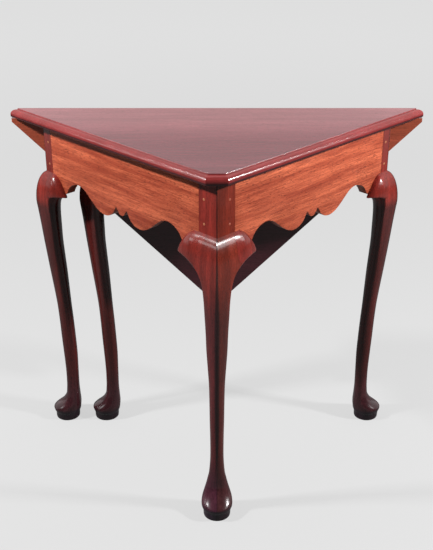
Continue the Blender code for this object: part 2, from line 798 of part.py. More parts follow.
# Knee blocks
# Along the block from the joint: the way as a share of its reach, then the drop of its top and of its bottom below the
# knee line as shares of its length, and how far it stands out and reaches under the apron, as shares of those sizes
front_block_shares = (
    (0.00, 0.000, 0.530, 1.00, 0.5),
    (0.13, 0.004, 0.490, 1.00, 0.6),
    (0.30, 0.022, 0.450, 0.97, 0.5),
    (0.56, 0.100, 0.425, 0.83, 0.2),
    (0.78, 0.216, 0.420, 0.60, 0.0),
    (0.915, 0.320, 0.422, 0.38, 0.0),
    (1.00, 0.400, 0.428, 0.18, 0.0),
)
rear_block_shares = (
    (0.00, 0.000, 0.445, 1.00, 0.5),
    (0.13, 0.004, 0.425, 1.00, 0.6),
    (0.30, 0.022, 0.395, 0.97, 0.5),
    (0.56, 0.100, 0.370, 0.83, 0.2),
    (0.78, 0.210, 0.355, 0.60, 0.0),
    (0.915, 0.282, 0.350, 0.38, 0.0),
    (1.00, 0.325, 0.352, 0.18, 0.0),
)
knee_block_out = (knee_out_share * pad_radius - foot_set_in) / root_two


def knee_block_section(along, top, low, out, under):
    """One section of a knee block in the apron's frame: a dome from a narrow ledge at its top."""
    ledge = min(knee_ledge, out / 2.0)
    ring = [(along, top, under)]
    for i in range(knee_block_steps + 1):
        turn = shoulder_turn * (1.0 - i / knee_block_steps)
        up = math.sin(turn) / math.sin(shoulder_turn)
        back = (1.0 - math.cos(turn)) / (1.0 - math.cos(shoulder_turn))
        ring.append((along, low + (top - low) * up, out + (ledge - out) * back))
    ring.append((along, low, under))
    return ring


for word, side in table_sides:
    for end, joint, way, reach, shares in (
            ("front", post_side, 1, front_block_reach, front_block_shares),
            ("rear", rear_joint_s, -1, rear_block_reach, rear_block_shares)):
        rings = []
        for along, top, low, out, under in shares:
            rings.append(knee_block_section(
                joint + way * along * reach, knee_z - top * knee_block_length, knee_z - low * knee_block_length,
                out * knee_block_out, -gap - under * knee_block_in))
        block = add_object(f"{end}_{word}_knee_block", move_mesh(loft_mesh(rings), face_matrix(side)), leg_wood)
        change(block, face_box(side, (0.0, seat_low, -post_side), (rear_corner_s, table_height, gap)))


# Moving pieces turn about the leaf's hinge line and the fly rail's knuckle pin
for piece in leaf_pieces:
    pivot(piece, pin_point)
for piece in [swing_leg, swing_fly_rail] + swing_leg_pegs:
    pivot(piece, (0.0, line_y - knuckle_y, fly_rail_low))
for piece in parts.objects:
    piece.data.shade_smooth()
    piece.data.set_sharp_from_angle(angle=math.radians(35.0))
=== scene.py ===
"""Looks of the triangular drop-leaf corner table: woods, metal, fine shapes, light and camera."""
import json
from math import atan2, copysign, cos, pi, radians, sin, sqrt, tan

import bpy
from mathutils import Matrix, Vector

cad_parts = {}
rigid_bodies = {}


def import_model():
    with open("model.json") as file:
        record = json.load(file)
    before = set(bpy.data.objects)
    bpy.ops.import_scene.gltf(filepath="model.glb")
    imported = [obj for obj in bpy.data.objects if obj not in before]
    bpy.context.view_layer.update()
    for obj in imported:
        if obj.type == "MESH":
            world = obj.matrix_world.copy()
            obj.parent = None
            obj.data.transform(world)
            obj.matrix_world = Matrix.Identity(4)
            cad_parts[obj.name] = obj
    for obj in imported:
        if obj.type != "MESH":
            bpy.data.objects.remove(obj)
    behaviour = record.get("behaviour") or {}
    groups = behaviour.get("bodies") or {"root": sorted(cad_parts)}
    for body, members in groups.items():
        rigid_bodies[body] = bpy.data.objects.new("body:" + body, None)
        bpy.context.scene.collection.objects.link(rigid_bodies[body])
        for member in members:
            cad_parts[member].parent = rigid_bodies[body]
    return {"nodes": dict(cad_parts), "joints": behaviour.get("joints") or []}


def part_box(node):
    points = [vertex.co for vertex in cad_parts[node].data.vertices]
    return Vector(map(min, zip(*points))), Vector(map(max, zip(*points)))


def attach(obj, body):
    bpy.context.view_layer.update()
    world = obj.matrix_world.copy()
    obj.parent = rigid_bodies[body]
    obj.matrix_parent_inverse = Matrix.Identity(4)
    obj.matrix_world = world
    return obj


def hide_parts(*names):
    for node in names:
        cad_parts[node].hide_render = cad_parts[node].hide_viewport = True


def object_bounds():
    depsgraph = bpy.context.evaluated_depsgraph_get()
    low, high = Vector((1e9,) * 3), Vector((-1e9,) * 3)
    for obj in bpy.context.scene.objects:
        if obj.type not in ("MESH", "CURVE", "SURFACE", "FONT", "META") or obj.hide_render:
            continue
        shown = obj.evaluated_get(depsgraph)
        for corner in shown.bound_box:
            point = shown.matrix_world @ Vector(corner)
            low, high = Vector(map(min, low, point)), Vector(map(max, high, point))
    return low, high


bl_info = {
    "name": "Corner table looks",
    "version": (1, 0, 0),
    "blender": (4, 5, 0),
    "location": "View3D > Sidebar > Corner table",
    "description": "Dresses a triangular drop-leaf corner table with cabriole legs",
    "category": "Object",
}

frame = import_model()
CAD_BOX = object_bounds()

# The photograph's frame and its camera, in pixels of a 433 by 550 picture
PICTURE_WIDE = 433
PICTURE_HIGH = 550
FOCAL_PIXELS = 979.04
CENTRE_PIXEL_X = 216.93
PICTURE_RISE = 0.9
SENSOR_MM = 36.0
CAMERA_PITCH = radians(90.0 - 25.703)
CAMERA_BACK = 1.9165
CAMERA_HIGH = 1.2632

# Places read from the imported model
LEAF_JOINT = next(joint for joint in frame["joints"] if joint["name"] == "leaf_hinge")
LINE_Y = LEAF_JOINT["pos_m"][1]
HINGE_Z = LEAF_JOINT["pos_m"][2]
TOP_Z = CAD_BOX[1][2]
FLOOR_Z = CAD_BOX[0][2]

# Sizes of the table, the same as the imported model's
ROOT_TWO = sqrt(2.0)
TOP_THICK = 0.0185
HALF_LENGTH = 0.416
TOP_OVERHANG = 0.02687
POST_SIDE = 0.044
POST_DROP = 0.1025
PAD_RADIUS = 0.0303
KNEE_OUT_SHARE = 1.053
FOOT_SET_IN = 0.006
REAR_POST_SET = 0.0007
SWING_OFFSET = 0.089
GAP = 0.0003
FRAME_TOP = TOP_Z - TOP_THICK
KNEE_Z = FRAME_TOP - POST_DROP
APRON_REACH = HALF_LENGTH - TOP_OVERHANG * ROOT_TWO
POST_HALF = POST_SIDE / ROOT_TWO
REAR_POST_Y = REAR_POST_SET + POST_HALF
REAR_POST_X = APRON_REACH - REAR_POST_Y - POST_HALF
REAR_CORNER_S = (REAR_POST_X + POST_HALF) * ROOT_TWO
REAR_JOINT_S = REAR_CORNER_S - POST_SIDE / 2.0
MIDDLE_S = (POST_SIDE + REAR_JOINT_S) / 2.0
HALF_SPAN = (REAR_JOINT_S - POST_SIDE) / 2.0
APRON_THICK = 0.020
APRON_DEPTH = 0.147
EAR_RISE = 0.0105

# Angles from which an edge gets an arris, or stays sharp in the shading
ARRIS_SEGMENTS = 2
CARVED_ARRIS_FROM = radians(50.0)
SAWN_ARRIS_FROM = radians(40.0)
BOARD_SHARP_FROM = radians(28.0)
EASED_SHARP_FROM = radians(30.0)
LEG_SHARP_FROM = radians(32.0)
PEG_SHARP_FROM = radians(40.0)


# Mesh helpers
def select_none():
    for other in bpy.context.view_layer.objects:
        other.select_set(False)


def select_only(piece):
    """Makes one object the active and only selected one."""
    select_none()
    piece.select_set(True)
    bpy.context.view_layer.objects.active = piece


def edit_all():
    bpy.ops.object.mode_set(mode="EDIT")
    bpy.ops.mesh.select_all(action="SELECT")


def extruded_rings(name, rings):
    """A closed form through rings of points, made by extruding a disc and placing its points."""
    count = len(rings[0])
    select_none()
    bpy.ops.mesh.primitive_circle_add(vertices=count, fill_type="NGON", location=(0.0, 0.0, 0.0))
    piece = bpy.context.object
    piece.name = name
    piece.data.name = name
    edit_all()
    for _ in rings[1:]:
        bpy.ops.mesh.extrude_region_move(TRANSFORM_OT_translate={"value": (0.0, 0.0, 1.0)})
    bpy.ops.object.mode_set(mode="OBJECT")
    first = atan2(piece.data.vertices[0].co.y, piece.data.vertices[0].co.x)
    for vertex in piece.data.vertices:
        turn = (atan2(vertex.co.y, vertex.co.x) - first) / (2.0 * pi)
        vertex.co = rings[round(vertex.co.z)][round(turn * count) % count]
    edit_all()
    bpy.ops.mesh.normals_make_consistent(inside=False)
    bpy.ops.object.mode_set(mode="OBJECT")
    return piece


def apply_matrix(piece, matrix):
    """Moves a piece's mesh, and keeps its faces out after a mirror."""
    piece.data.transform(matrix)
    if matrix.determinant() < 0.0:
        piece.data.flip_normals()
    return piece


def bevel_edges(piece, width, angle):
    """Rounds the edges that are sharper than an angle."""
    select_only(piece)
    modifier = piece.modifiers.new("arris", "BEVEL")
    modifier.width = width
    modifier.segments = ARRIS_SEGMENTS
    modifier.limit_method = "ANGLE"
    modifier.angle_limit = angle
    bpy.ops.object.modifier_apply(modifier=modifier.name)


def smooth_shade(piece, angle):
    select_only(piece)
    bpy.ops.object.shade_smooth_by_angle(angle=angle)


def subtract(piece, tool):
    """Cuts a tool out of a piece and deletes the tool."""
    select_only(piece)
    modifier = piece.modifiers.new("cut", "BOOLEAN")
    modifier.operation = "DIFFERENCE"
    modifier.solver = "EXACT"
    modifier.object = tool
    bpy.ops.object.modifier_apply(modifier=modifier.name)
    bpy.data.objects.remove(tool, do_unlink=True)


def cut_box(piece, low, high, matrix=Matrix()):
    """Cuts a box from one corner to another, moved by a matrix, out of a piece."""
    select_none()
    bpy.ops.mesh.primitive_cube_add(size=1.0, location=(0.0, 0.0, 0.0))
    box = bpy.context.object
    size = Vector(high) - Vector(low)
    middle = (Vector(high) + Vector(low)) / 2.0
    box.data.transform(Matrix.Translation(middle) @ Matrix.Diagonal((*size, 1.0)))
    subtract(piece, apply_matrix(box, matrix))


def face_matrix(side):
    """From an apron's frame (along, up, out of its face) to the table's; side is 1 right, -1 left."""
    half = 1.0 / ROOT_TWO
    return Matrix((
        (side * half, 0.0, side * half, 0.0),
        (half, 0.0, -half, LINE_Y - APRON_REACH),
        (0.0, 1.0, 0.0, 0.0),
        (0.0, 0.0, 0.0, 1.0)))


def smooth_through(points, steps):
    """Points on a smooth curve that passes through every point given."""
    result = []
    last = len(points) - 1
    for i in range(last):
        before = Vector(points[max(i - 1, 0)])
        start = Vector(points[i])
        end = Vector(points[i + 1])
        after = Vector(points[min(i + 2, last)])
        for k in range(steps):
            t = k / steps
            result.append(tuple(0.5 * (
                2.0 * start + (end - before) * t
                + (2.0 * before - 5.0 * start + 4.0 * end - after) * t * t
                + (3.0 * start - before - 3.0 * end + after) * t * t * t)))
    result.append(tuple(points[last]))
    return result


def about_point(point, matrix):
    return Matrix.Translation(point) @ matrix @ Matrix.Translation(-point)


# Node groups and materials
def set_inputs(tree, node, values):
    """Links or sets a node's inputs by name or number."""
    for key, value in values.items():
        if isinstance(value, bpy.types.NodeSocket):
            tree.links.new(value, node.inputs[key])
        else:
            node.inputs[key].default_value = value


def add_node(tree, kind, values=None, **settings):
    node = tree.nodes.new("ShaderNode" + kind)
    for key, value in settings.items():
        setattr(node, key, value)
    set_inputs(tree, node, values or {})
    return node


def math_value(tree, operation, *values):
    return add_node(tree, "Math", dict(enumerate(values)), operation=operation).outputs[0]


def math_vector(tree, operation, *values):
    return add_node(tree, "VectorMath", dict(enumerate(values)), operation=operation).outputs[0]


def scaled_value(tree, value, factor):
    return math_value(tree, "MULTIPLY", value, factor)


def map_range(tree, value, low, high, to_low=0.0, to_high=1.0):
    """A smooth step between two numbers, while a value goes from low to high."""
    limits = {"Value": value, "From Min": low, "From Max": high, "To Min": to_low, "To Max": to_high}
    return add_node(tree, "MapRange", limits, interpolation_type="SMOOTHSTEP").outputs["Result"]


def add_noise(tree, place, scale, detail, roughness=0.5, distortion=0.0):
    return add_node(tree, "TexNoise", {
        "Vector": place, "Scale": scale, "Detail": detail, "Roughness": roughness,
        "Distortion": distortion}).outputs


def mix_colours(tree, share, first, second):
    """Two colours mixed by a share. Each is a socket or three numbers."""
    values = {0: share}
    for key, colour in ((6, first), (7, second)):
        values[key] = colour if isinstance(colour, bpy.types.NodeSocket) else (*colour, 1.0)
    return add_node(tree, "Mix", values, data_type="RGBA").outputs[2]


def start_group(name, inputs, outputs):
    """A node group from its inputs (name, kind, default) and number outputs, and its inner sockets."""
    group = bpy.data.node_groups.new(name, "ShaderNodeTree")
    for title, kind, default in inputs:
        socket = group.interface.new_socket(name=title, in_out="INPUT", socket_type="NodeSocket" + kind)
        socket.default_value = default
    for title in outputs:
        group.interface.new_socket(name=title, in_out="OUTPUT", socket_type="NodeSocketFloat")
    return group, group.nodes.new("NodeGroupInput").outputs, group.nodes.new("NodeGroupOutput").inputs


# Wood noises: scale along and across the grain, detail, roughness, distortion, and their limits
FIGURE_NOISES = {
    "Ribbon": ((3.0, 45.0, 4.0, 0.6, 0.4), (0.32, 0.68)),
    "Streaks": ((14.0, 520.0, 3.0, 0.7, 0.0), (0.30, 0.70)),
    "Pores": ((130.0, 1500.0, 1.0, 0.5, 0.0), (0.56, 0.70)),
}
WANDER_SCALE = 3.0
WANDER_REACH = (0.0, 0.02, 0.02)

# Polish noises: scale, detail, roughness, distortion, and their limits
POLISH_NOISES = {
    "Patches": ((9.0, 3.0, 0.5, 0.0), (0.3, 0.7)),
    "Smears": ((60.0, 4.0, 0.6, 0.8), (0.35, 0.75)),
}

# Painted shade down a leg's ridge
RIDGE_WIDE = 0.0048
RIDGE_FINE = 0.0011
RIDGE_FADE = (0.06, 0.22)
RIDGE_NARROW_FROM = 0.42
RIDGE_EDGE = (0.45, 1.25)

PLACE_INPUT = ("Place", "Vector", (0.0, 0.0, 0.0))
GROUPS = {}


def build_figure_group():
    """Mahogany's grain along X: broad ribbon, fine streaks and open pores."""
    group, given, result = start_group(
        "wood figure", (PLACE_INPUT, ("Broadness", "Float", 1.0)), FIGURE_NOISES)
    wander = add_noise(group, given["Place"], WANDER_SCALE, 1.0)["Color"]
    centred = math_vector(group, "SUBTRACT", wander, (0.5, 0.5, 0.5))
    drift = math_vector(group, "MULTIPLY", centred, WANDER_REACH)
    place = math_vector(group, "ADD", given["Place"], drift)
    broad = add_node(group, "VectorMath", {0: place, "Scale": given["Broadness"]}, operation="SCALE")
    for title, ((along, across, *rest), limits) in FIGURE_NOISES.items():
        start = broad.outputs[0] if title == "Ribbon" else place
        stretched = math_vector(group, "MULTIPLY", start, (along, across, across))
        noise = add_noise(group, stretched, 1.0, *rest)["Fac"]
        group.links.new(map_range(group, noise, *limits), result[title])
    return group


def build_polish_group():
    """Rubbed and darkened patches of an old polish."""
    group, given, result = start_group("old polish", (PLACE_INPUT,), POLISH_NOISES)
    for title, (values, limits) in POLISH_NOISES.items():
        noise = add_noise(group, given["Place"], *values)["Fac"]
        group.links.new(map_range(group, noise, *limits), result[title])
    return group


def build_ridge_shade_group():
    """Painted shade down a leg's ridge, from the way across the ridge and the height."""
    group, given, result = start_group(
        "painted ridge shade", (("Across", "Float", 0.0), ("Height", "Float", 0.0)), ("Ridge",))
    away = math_value(group, "ABSOLUTE", given["Across"])
    lower = map_range(group, given["Height"], *RIDGE_FADE, 0.0, RIDGE_WIDE)
    upper = map_range(group, given["Height"], RIDGE_NARROW_FROM, KNEE_Z, 0.0, RIDGE_WIDE - RIDGE_FINE)
    width = math_value(group, "MAXIMUM", math_value(group, "SUBTRACT", lower, upper), RIDGE_FINE / 2.0)
    share = math_value(group, "DIVIDE", away, width)
    group.links.new(map_range(group, share, *RIDGE_EDGE, 1.0, 0.0), result["Ridge"])
    return group


def use_group(tree, key, values):
    return add_node(tree, "Group", values, node_tree=GROUPS[key]).outputs


def start_material(name, turn):
    """A Principled material with its place in the piece, turned so that X runs along the grain."""
    material = bpy.data.materials.new(name)
    material.use_nodes = True
    tree = material.node_tree
    shader = tree.nodes["Principled BSDF"]
    place = add_node(tree, "TexCoord").outputs["Object"]
    mapping = add_node(tree, "Mapping", {"Vector": place, "Rotation": turn})
    return material, tree, shader, mapping.outputs["Vector"]


# Tints by height: full below the first, none above the second, and the colour's gain
BOARD_HIGH = TOP_Z - FLOOR_Z
EDGE_TINT = (BOARD_HIGH - 0.0012, BOARD_HIGH - 0.0006, (1.62, 0.76, 0.62))
# Painted shade under the moulded edge's nose and on the board's underside
EDGE_UNDER_SHADE = (BOARD_HIGH - 0.0150, BOARD_HIGH - 0.0125, (0.25, 0.28, 0.35))
DISC_TINT = (0.022, 0.029, (0.45, 0.75, 0.95))
# The feet: less red and more blue, partly their own darker tone and partly a painted sheen of broad
# highlights
FOOT_TONE_AND_SHEEN = (0.05, 0.15, (0.62, 1.20, 1.80))
# Painted shade on the shins, darker below the knees, rear and front
SHIN_SHADE = (KNEE_Z - 0.078, KNEE_Z - 0.052, (0.34, 0.46, 0.56))
FRONT_SHIN_SHADE = (KNEE_Z - 0.17, KNEE_Z - 0.06, (0.52, 0.70, 1.10))

# Painted reflection, light and shade by place, and their gains
TOP_BACK = (-0.03, 0.17)
BACK_REFLECTION_GAIN = (1.75, 2.45, 2.20)
UNDERSIDE_OUT = (0.0046, 0.0056)
UNDERSIDE_SHADE_GAIN = (0.55, 0.50, 0.58)
LEAF_FACE_OUT = (0.0205, 0.0220)
LEAF_LIT_TIPS = (0.20, 0.31)
LEAF_TIP_LIGHT_GAIN = (4.7, 4.1, 1.45)
RIGHT_FACE = (-0.001, 0.001)
RIGHT_FACE_SHADE_GAIN = (0.84, 0.95, 0.65)
RIDGE_SHADE_GAIN = (0.24, 0.38, 0.48)


def place_along(tree, axis, start=0.0):
    """How far a point of the object is along an axis from a start."""
    parts = add_node(tree, "SeparateXYZ", {0: add_node(tree, "TexCoord").outputs["Object"]})
    return math_value(tree, "SUBTRACT", parts.outputs[axis], start)


def tint(material, share, gain):
    """Multiplies a material's colour by a gain where the share is 1."""
    tree = material.node_tree
    shader = tree.nodes["Principled BSDF"]
    plain = shader.inputs["Base Color"].links[0].from_socket
    tinted = math_vector(tree, "MULTIPLY", plain, gain)
    tree.links.new(mix_colours(tree, share, plain, tinted), shader.inputs["Base Color"])


def add_height_tint(material, low, high, gain):
    """Tints a material below a height, and fades the tint out above it."""
    tree = material.node_tree
    tint(material, map_range(tree, place_along(tree, "Z", FLOOR_Z), low, high, 1.0, 0.0), gain)


def add_ridge_shade(material, axis, place):
    """Paints shade down a leg's ridge, where one coordinate is at its place."""
    tree = material.node_tree
    ridge = use_group(tree, "ridge", {
        "Across": place_along(tree, axis, place), "Height": place_along(tree, "Z", FLOOR_Z)})
    tint(material, ridge["Ridge"], RIDGE_SHADE_GAIN)


def add_leaf_light_and_shade(material):
    """Paints shade on the leaf's underside and light on its tips, and gives its face the top back's painted
    reflection.
    """
    tree = material.node_tree
    under = map_range(tree, place_along(tree, "Y", LINE_Y), *UNDERSIDE_OUT, 1.0, 0.0)
    away = math_value(tree, "ABSOLUTE", place_along(tree, "X"))
    tips = scaled_value(tree, map_range(tree, away, *LEAF_LIT_TIPS), under)
    tint(material, under, UNDERSIDE_SHADE_GAIN)
    tint(material, tips, LEAF_TIP_LIGHT_GAIN)
    tint(material, map_range(tree, place_along(tree, "Y", LINE_Y), *LEAF_FACE_OUT), BACK_REFLECTION_GAIN)


def add_back_reflection(material):
    """Paints a lighter reflection of the backdrop on the flat of the top, toward the long side."""
    tree = material.node_tree
    flat = map_range(tree, place_along(tree, "Z", FLOOR_Z), *EDGE_TINT[:2])
    back = map_range(tree, place_along(tree, "Y"), *TOP_BACK)
    tint(material, scaled_value(tree, flat, back), BACK_REFLECTION_GAIN)


# Finishes: the shares of ribbon, streaks and pores that show, and each polish's roughness and coat
PLAIN_SHARES = (0.75, 0.55, 0.6)
APRON_SHARES = (0.85, 0.75, 0.9)
TOP_POLISH = (0.16, 0.55)
LEAF_POLISH = (0.18, 0.5)
APRON_POLISH = (0.34, 0.15)
LEG_POLISH = (0.22, 0.45)
PEG_POLISH = (0.4, 0.1)
INNER_POLISH = (0.55, 0.0)
TOP_BROADNESS = 0.45
STREAK_DARKNESS = 0.72
PATCH_SHARE = 0.25
SMEAR_DULLNESS = 0.05
COAT_ROUGHNESS = 0.10
WOOD_SPECULAR = 0.3
PORE_RELIEF = 0.35
PORE_DEPTH = 0.00012
LEG_PORE_DEPTH = 0.00003

# Colours that aren't settings: pores, then light, dark and pores, then metal, tarnish and roughness
TOP_PORES = (0.05, 0.015, 0.014)
APRON_PORES = (0.065, 0.009, 0.005)
LEG_PORES = (0.012, 0.003, 0.003)
INNER_WOOD = ((0.42, 0.25, 0.13), (0.26, 0.14, 0.07), (0.10, 0.05, 0.03))
PEG_WOOD = ((0.46, 0.17, 0.08), (0.34, 0.11, 0.05), (0.16, 0.04, 0.02))
BRASS = ((0.62, 0.43, 0.18), (0.22, 0.13, 0.06), 0.28)
STEEL = ((0.50, 0.50, 0.50), (0.20, 0.17, 0.15), 0.32)
TARNISH_SHARE = 0.7
TARNISH_DULLNESS = 0.2

# How a place is turned so that X runs along the grain
ALONG_X = (0.0, 0.0, 0.0)
ALONG_RIGHT = (0.0, 0.0, radians(-45.0))
ALONG_LEFT = (0.0, 0.0, radians(45.0))
UPRIGHT = (0.0, radians(90.0), 0.0)
MATERIALS = {}


def wood_material(name, turn, colours, polish, shares=PLAIN_SHARES, broadness=1.0, depth=PORE_DEPTH):
    """A mahogany finish from its light, dark and pore colours, its polish and its figure."""
    material, tree, shader, place = start_material(name, turn)
    light, dark, pore = colours
    gloss, coat = polish
    masks = use_group(tree, "figure", {"Place": place, "Broadness": broadness})
    wear = use_group(tree, "polish", {"Place": place})
    ribbon = scaled_value(tree, masks["Ribbon"], shares[0])
    streaks = scaled_value(tree, masks["Streaks"], shares[1])
    pores = scaled_value(tree, masks["Pores"], shares[2])
    base = mix_colours(tree, ribbon, light, dark)
    streaked = mix_colours(tree, streaks, base, tuple(channel * STREAK_DARKNESS for channel in dark))
    pored = mix_colours(tree, pores, streaked, pore)
    colour = mix_colours(tree, scaled_value(tree, wear["Patches"], PATCH_SHARE), pored, dark)
    roughness = map_range(tree, wear["Smears"], 0.0, 1.0, gloss, gloss + SMEAR_DULLNESS)
    relief = add_node(tree, "Bump", {
        "Strength": PORE_RELIEF, "Distance": depth, "Height": masks["Pores"]}, invert=True)
    set_inputs(tree, shader, {
        "Base Color": colour, "Roughness": roughness, "Normal": relief.outputs["Normal"],
        "Coat Weight": coat, "Coat Roughness": COAT_ROUGHNESS, "Specular IOR Level": WOOD_SPECULAR})
    return material


def metal_material(name, colour, tarnish, gloss):
    """A metal that has tarnished in patches."""
    material, tree, shader, place = start_material(name, ALONG_X)
    wear = use_group(tree, "polish", {"Place": place})
    share = scaled_value(tree, wear["Smears"], TARNISH_SHARE)
    set_inputs(tree, shader, {
        "Base Color": mix_colours(tree, share, colour, tarnish), "Metallic": 1.0,
        "Roughness": map_range(tree, wear["Patches"], 0.0, 1.0, gloss, gloss + TARNISH_DULLNESS)})
    return material


def build_visible_woods(settings):
    """The woods that the settings colour, with their tints."""
    top = (settings.top_light, settings.top_dark, TOP_PORES)
    apron = (settings.apron_light, settings.apron_dark, APRON_PORES)
    leg = (settings.leg_light, settings.leg_dark, LEG_PORES)
    for key, polish in (("top", TOP_POLISH), ("leaf", LEAF_POLISH)):
        MATERIALS[key] = wood_material(
            f"polished {key} mahogany", ALONG_X, top, polish, broadness=TOP_BROADNESS)
    # Painted shade, light and reflection on the leaf
    add_leaf_light_and_shade(MATERIALS["leaf"])
    # Painted reflection of the backdrop on the top's back
    add_back_reflection(MATERIALS["top"])
    add_height_tint(MATERIALS["top"], *EDGE_TINT)
    # Painted shade under the moulded edge
    add_height_tint(MATERIALS["top"], *EDGE_UNDER_SHADE)
    for word, turn in (("right", ALONG_RIGHT), ("left", ALONG_LEFT)):
        MATERIALS["apron_" + word] = wood_material(
            word + " apron mahogany", turn, apron, APRON_POLISH, APRON_SHARES)
    # Each leg's shin gets painted shade below the knee
    for key, shin in (("leg", SHIN_SHADE), ("front_leg", FRONT_SHIN_SHADE), ("rear_leg", SHIN_SHADE)):
        name = key.replace("_", " ") + " mahogany"
        MATERIALS[key] = wood_material(name, UPRIGHT, leg, LEG_POLISH, depth=LEG_PORE_DEPTH)
        for height_tint in (shin, DISC_TINT, FOOT_TONE_AND_SHEEN):
            add_height_tint(MATERIALS[key], *height_tint)
    front = MATERIALS["front_leg"]
    # The front leg's right face gets painted shade
    right = map_range(front.node_tree, place_along(front.node_tree, "X"), *RIGHT_FACE)
    tint(front, right, RIGHT_FACE_SHADE_GAIN)
    # Painted shade down the ridges of the front and rear legs
    add_ridge_shade(front, "X", 0.0)
    add_ridge_shade(MATERIALS["rear_leg"], "Y", LINE_Y - REAR_POST_Y)
    faint_peg = (PEG_WOOD[1], leg[0], leg[1])
    MATERIALS["faint_peg"] = wood_material("darkened peg wood", UPRIGHT, faint_peg, PEG_POLISH)


def build_materials(settings):
    GROUPS["figure"] = build_figure_group()
    GROUPS["polish"] = build_polish_group()
    GROUPS["ridge"] = build_ridge_shade_group()
    build_visible_woods(settings)
    MATERIALS["peg"] = wood_material("peg wood", UPRIGHT, PEG_WOOD, PEG_POLISH)
    MATERIALS["inner"] = wood_material("inner hardwood", ALONG_X, INNER_WOOD, INNER_POLISH)
    MATERIALS["inner_upright"] = wood_material("inner block hardwood", UPRIGHT, INNER_WOOD, INNER_POLISH)
    MATERIALS["brass"] = metal_material("aged hinge brass", *BRASS)
    MATERIALS["steel"] = metal_material("screw steel", *STEEL)


def set_material(piece, key):
    piece.data.materials.clear()
    piece.data.materials.append(MATERIALS[key])


def body_of(node):
    return "swing_leg_and_rail" if node.startswith("swing") else "frame"


def finish_piece(piece, sharp_from, key, body, node):
    """Gives a piece its shading and material, puts it in its body, and hides the node it stands for."""
    smooth_shade(piece, sharp_from)
    set_material(piece, key)
    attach(piece, body)
    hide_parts(node)


COLOUR = {"subtype": "COLOR", "min": 0.0, "max": 1.0}


class CornerTableSettings(bpy.types.PropertyGroup):
    """Sizes and colours of the table's finish."""
    top_light: bpy.props.FloatVectorProperty(
        name="Top light", description="Lighter top wood", default=(0.185, 0.046, 0.056), **COLOUR)
    top_dark: bpy.props.FloatVectorProperty(
        name="Top dark", description="Darker top wood", default=(0.110, 0.029, 0.035), **COLOUR)
    apron_light: bpy.props.FloatVectorProperty(
        name="Apron light", description="Lighter apron wood", default=(0.760, 0.185, 0.085), **COLOUR)
    apron_dark: bpy.props.FloatVectorProperty(
        name="Apron dark", description="Darker apron wood", default=(0.270, 0.036, 0.016), **COLOUR)
    leg_light: bpy.props.FloatVectorProperty(
        name="Leg light", description="Lighter leg wood", default=(0.300, 0.030, 0.021), **COLOUR)
    leg_dark: bpy.props.FloatVectorProperty(
        name="Leg dark", description="Darker leg wood", default=(0.095, 0.010, 0.007), **COLOUR)
    arris: bpy.props.FloatProperty(
        name="Arris", description="Rounding of the sawn edges", subtype="DISTANCE", unit="LENGTH", min=0.0,
        default=0.0006)
    leg_points: bpy.props.IntProperty(
        name="Leg points", description="Points round each leg", min=16, max=96, default=48)
    leg_steps: bpy.props.IntProperty(
        name="Leg steps", description="Sections between two of a leg's named ones", min=1, max=8, default=4)
    edge_steps: bpy.props.IntProperty(
        name="Edge steps", description="Steps round the moulded edge", min=4, max=32, default=14)


# Boards
EDGE_WIDTH = 0.0113
EDGE_FILLET = 0.0027
NOSE_HEIGHT = 0.0032
NOSE_LIFT = 0.0028
NOSE_UNDER = 0.0016
CORNER_HALF = 0.019
LEAF_EXTRA = 0.008
CLIP_ROUND = 0.0035
CLIP_TURN = radians(45.0)
CLIP_STEPS = 5
FILLET_ROUND = 0.0005


def edge_profile(steps):
    """The moulded edge from the underside up: how far each line lies inside the nose, and how high."""
    round_in = EDGE_WIDTH - EDGE_FILLET / 2.0
    round_low = NOSE_LIFT + NOSE_HEIGHT
    round_high = TOP_THICK - EDGE_FILLET - round_low
    points = []
    for i in range(steps // 2 + 1):
        turn = radians(90.0) * i / (steps // 2)
        points.append((NOSE_UNDER * (1.0 - sin(turn)), NOSE_LIFT * (1.0 - cos(turn))))
    for i in range(steps + 1):
        turn = radians(90.0) * i / steps
        points.append((round_in * (1.0 - cos(turn)), round_low + round_high * sin(turn)))
    points.append((EDGE_WIDTH - EDGE_FILLET / 4.0, TOP_THICK - EDGE_FILLET + GAP))
    points.append((EDGE_WIDTH - FILLET_ROUND / 2.0, TOP_THICK - FILLET_ROUND))
    points.append((EDGE_WIDTH, TOP_THICK - FILLET_ROUND / 4.0))
    points.append((EDGE_WIDTH + FILLET_ROUND, TOP_THICK))
    return points


def board_rings(steps, extra=0.0):
    """A board in the top's place; extra makes a larger one with blunt ends."""
    rings = []
    for inset, height in edge_profile(steps):
        reach = HALF_LENGTH + extra - inset * ROOT_TWO
        corner = HALF_LENGTH + extra - CORNER_HALF - inset
        edge = GAP / 2.0
        bend_x = reach - corner - CLIP_ROUND * tan(CLIP_TURN / 2.0)
        half = []
        for k in range(CLIP_STEPS + 1):
            turn = CLIP_TURN * k / CLIP_STEPS
            half.append((corner - CLIP_ROUND * (1.0 - cos(turn)), bend_x + CLIP_ROUND * sin(turn)))
        if extra > 0.0:
            end = HALF_LENGTH - inset
            half += [(reach - end, end), (edge, end)]
        else:
            half.append((edge, reach - edge))
        outline = [(-x, y) for y, x in reversed(half)] + [(x, y) for y, x in half]
        rings.append([(x, LINE_Y - y, FRAME_TOP + height) for x, y in outline])
    return rings


def hinge_pockets(piece):
    """Cuts the seats of the hinge plates out of a board in its raised place."""
    for word in ("left", "right"):
        low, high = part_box(word + "_hinge_top_plate")
        cut_box(piece, (low[0] - GAP, low[1] - GAP, FRAME_TOP - TOP_THICK),
                (high[0] + GAP, LINE_Y + TOP_THICK, high[2] + GAP))


